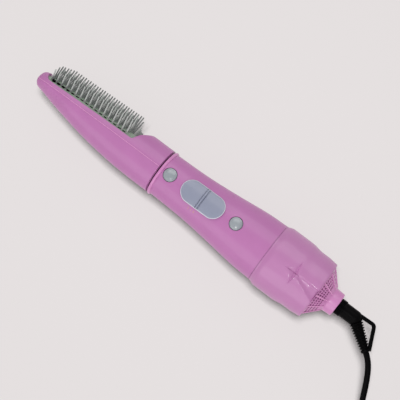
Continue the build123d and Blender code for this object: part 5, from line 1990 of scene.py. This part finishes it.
    def deck_cutter(self) -> Piece:
        """Make what is cut away over the deck, between the lip at the tip and the ramp.

        Returns:
            The block.
        """
        radius = self.lip_radius
        lip_x = self.deck[0][0]
        foot_x = lip_x + radius
        foot_y = self.along(foot_x, (self.deck[0][1], self.deck[1][1]))
        turns = [QUARTER_TURN * step / self.lip_steps for step in range(self.lip_steps + 1)]
        arc = [(foot_x - radius * math.sin(turn), foot_y + radius * (1 - math.cos(turn))) for turn in turns]
        reach = self.deck_reach
        top = (lip_x, self.ramp_point(reach)[1])
        return prism("deck_cutter", [*arc, top, *self.ramp_line(reach)], -reach, reach)

    def back_shell(self) -> None:
        """The back half of the head."""
        piece = self.sheet("head_back", 0.0, None, 0.0, self.wall)
        round_edges(piece, self.part_line, 2, 50)
        self.hand_over(piece, PINK, "head_back_shell")

    def front_shell(self) -> None:
        """The front half, with the opening for the bristles and the sloped wall behind it."""
        piece = self.sheet("head_front", self.front_proud, 0.0, None, self.wall)
        reach = self.ramp_reach
        outer = [(x, y + self.ramp_lift) for x, y in map(self.ramp_point, (-self.wall, reach))]
        inner = [self.ramp_point(height, self.ramp_wall) for height in (reach, -self.wall)]
        slab = prism("ramp", outer + inner, -reach, reach)
        combine(slab, self.form("ramp_form", self.wall / 2), "INTERSECT")
        combine(piece, slab, "UNION")
        combine(piece, self.deck_cutter())
        round_edges(piece, self.edge_round, 2, 38)
        self.hand_over(piece, PINK, "head_front_shell")

    def parting_bead(self) -> None:
        """A fine pale bead along the front shell's parting edge, in a lighter pink as painted highlight."""
        width, proud, thick = self.bead
        piece = self.sheet("parting_bead", self.front_proud + proud, 0.0, width, thick)
        round_edges(piece, self.bead_round, 2, 50)
        self.hand_over(piece, RIB_AND_HIGHLIGHT, "head_front_shell")

    def crown(self) -> Piece:
        """Make the block whose upper face is the pad's crown.

        Returns:
            The block.
        """
        ends = [place[0] + past for place, past in zip(self.deck, self.crown_ends)]
        radii = [self.along(x, self.pad_arc) for x in ends]
        middles = [self.along(x, self.pad_crown) - radius for x, radius in zip(ends, radii)]
        piece = hoop("crown", 256, "NGON")
        with editing(piece, action="SELECT"):
            swell(1, radii[0], radii[0], (0, 0, 0))
            shift(ends[0], middles[0])
            extrude(ends[1] - ends[0], middles[1] - middles[0])
            share = radii[1] / radii[0]
            swell(1, share, share, (ends[1], middles[1], 0))
        close_up(piece)
        return piece

    def pad_place(self, x: float, angle: float, lean: float, sunk: float = 0.0) -> Matrix:
        """Matrix that stands a piece, modelled along X, on the pad's face.

        Args:
            x: Place along the head.
            angle: Place round the pad's crown, in degrees.
            lean: How far the piece leans to the side, in degrees.
            sunk: How deep its foot is in the pad.

        Returns:
            The matrix.
        """
        turn, out = math.radians(angle), math.radians(lean)
        radius = self.along(x, self.pad_arc)
        y = self.along(x, self.pad_crown) - radius + (radius - sunk) * math.cos(turn)
        z = (radius - sunk) * math.sin(turn)
        way = Vector((0, math.cos(out), math.sin(out)))
        axes = Matrix([way, Vector((1, 0, 0)), way.cross(Vector((1, 0, 0)))]).transposed()
        return Matrix.Translation((x, y, z)) @ axes.to_4x4()

    def places(self) -> list[tuple[float, int, float]]:
        """List the bristles on the pad.

        Returns:
            Place along the head, row number and angle round the crown of each.
        """
        half = self.rows // 2
        step = self.row_reach / half
        count = math.floor((self.last_x - self.first_x) / self.pitch) + 1
        spots = [(self.first_x + self.pitch * k, row) for row in range(-half, half + 1) for k in range(count)]
        return [(x, row, row * step) for x, row in spots]

    def air_slots(self, pad: Piece) -> None:
        """Cut the air slots into the pad and line them with a dark sheet, painted shade for the hollow under
        them.

        Args:
            pad: The pad that they are cut into.
        """
        length, width, depth = self.slot_size
        half, across = length / 2, width / 2
        slot = block("slot", (-depth / 2, -half, -across), (depth / 2, half, across))
        # Painted shade: a black block just inside each slot's mouth.
        thick, play = self.liner
        liner = block("liner", (-thick, play - half, play - across), (0, half - play, across - play))
        spots = [
            (x + self.pitch / 2, angle, angle)
            for x, row, angle in self.places()
            if row % 2 != 0 and x + self.pitch < self.last_x
        ]
        cutters = copies(slot, [self.pad_place(*spot) for spot in spots])
        shade_liners = copies(liner, [self.pad_place(*spot, self.shade_liner_sunk) for spot in spots])
        combine(pad, join("slots", cutters))
        self.hand_over(join("air_slots", shade_liners), BLACK_PLASTIC, "bristle_insert")

    def pad(self) -> None:
        """The crowned pad with its air slots and the tongue that lies on the ramp."""
        piece = self.form("pad", self.wall + self.pad_gap)
        start, low = self.deck[0][0], self.pad_low
        height, top = self.bed_top
        bed = [(start, low), (self.hollow_foot[0], low), *reversed(self.ramp_line(height)), (start, top)]
        combine(piece, prism("bed", bed, -self.ramp_reach, self.ramp_reach), "INTERSECT")
        combine(piece, self.crown(), "INTERSECT")
        self.air_slots(piece)
        half, thickness, height = self.tongue
        foot = -self.wall
        corners = ((foot, 0.0), (height, 0.0), (height, -thickness), (foot, -thickness))
        tongue = prism("tongue", [self.ramp_point(*corner) for corner in corners], -half, half)
        round_edges(tongue, self.edge_round)
        self.hand_over(join("bristle_pad", [piece, tongue]), PAD, "bristle_insert")

    def length_at(self, x: float, row: int) -> float:
        """How far a bristle stands out: most at the rear and in the middle row, and less at the tip.

        Args:
            x: Place along the head.
            row: Number of its row, 0 in the middle.

        Returns:
            The length over the pad.
        """
        share = (x - self.first_x) / (self.last_x - self.first_x)
        middle = self.lengths[0] + (self.lengths[1] - self.lengths[0]) * share + self.root
        drop = self.drops[0] + (self.drops[1] - self.drops[0]) * share
        end = min(1.0, self.shortest + self.growth * (x - self.first_x) / self.pitch)
        return (middle - drop * abs(row)) * end - self.root

    def shortened(self, length: float) -> Matrix:
        """Matrix that shortens the model bristle."""
        return Matrix.Diagonal((length / self.bristle_outline[-1][0], 1, 1, 1))

    def peg_place(self, x: float, z: float) -> Matrix:
        """Matrix that stands a peg on the tongue."""
        y = self.deck[1][1] + x - self.deck[1][0] + self.peg_lift
        return Matrix([(0, 1, 0, x), (1, 0, 0, y), (0, 0, -1, z), (0, 0, 0, 1)])

    def bristles(self) -> None:
        """All the bristles and pegs, one model copied to every place."""
        places = [
            self.pad_place(x, angle, angle * self.row_lean) @ self.shortened(self.length_at(x, row))
            for x, row, angle in self.places()
        ]
        spread = (-self.peg_spread, 0.0, self.peg_spread)
        pegs = [self.peg_place(x, z) @ self.shortened(length) for x, length in self.pegs for z in spread]
        pins = copies(turned("pin", self.bristle_outline, self.bristle_sides), places + pegs)
        parts, short = pins[: len(places)], pins[len(places) :]
        self.hand_over(join("bristles", parts), BRISTLE, "bristle_insert")
        self.hand_over(join("tongue_pegs", short), PEG, "bristle_insert")

    def build(self) -> None:
        """Build the whole head."""
        self.back_shell()
        self.front_shell()
        self.parting_bead()
        self.pad()
        self.bristles()


def main() -> None:
    """Build the studio, the cord and every sub-assembly in order."""
    logging.basicConfig(level=logging.INFO, format="%(message)s")
    placement = Placement.of_frame(frame["joints"], SWIVEL_X)
    shop = Shop(placement)
    swivel = Swivel(shop)
    handle = Handle(shop)
    Studio(placement).build()
    MainsCord(placement, swivel).build(shop, Plug(shop).build())
    controls = Controls(shop, handle)
    for part in (BrushHead(shop), handle, controls, RearHousing(shop), IntakeGrille(shop), swivel):
        part.build()
    shop.dress_nodes()


if __name__ == "__main__":
    main()
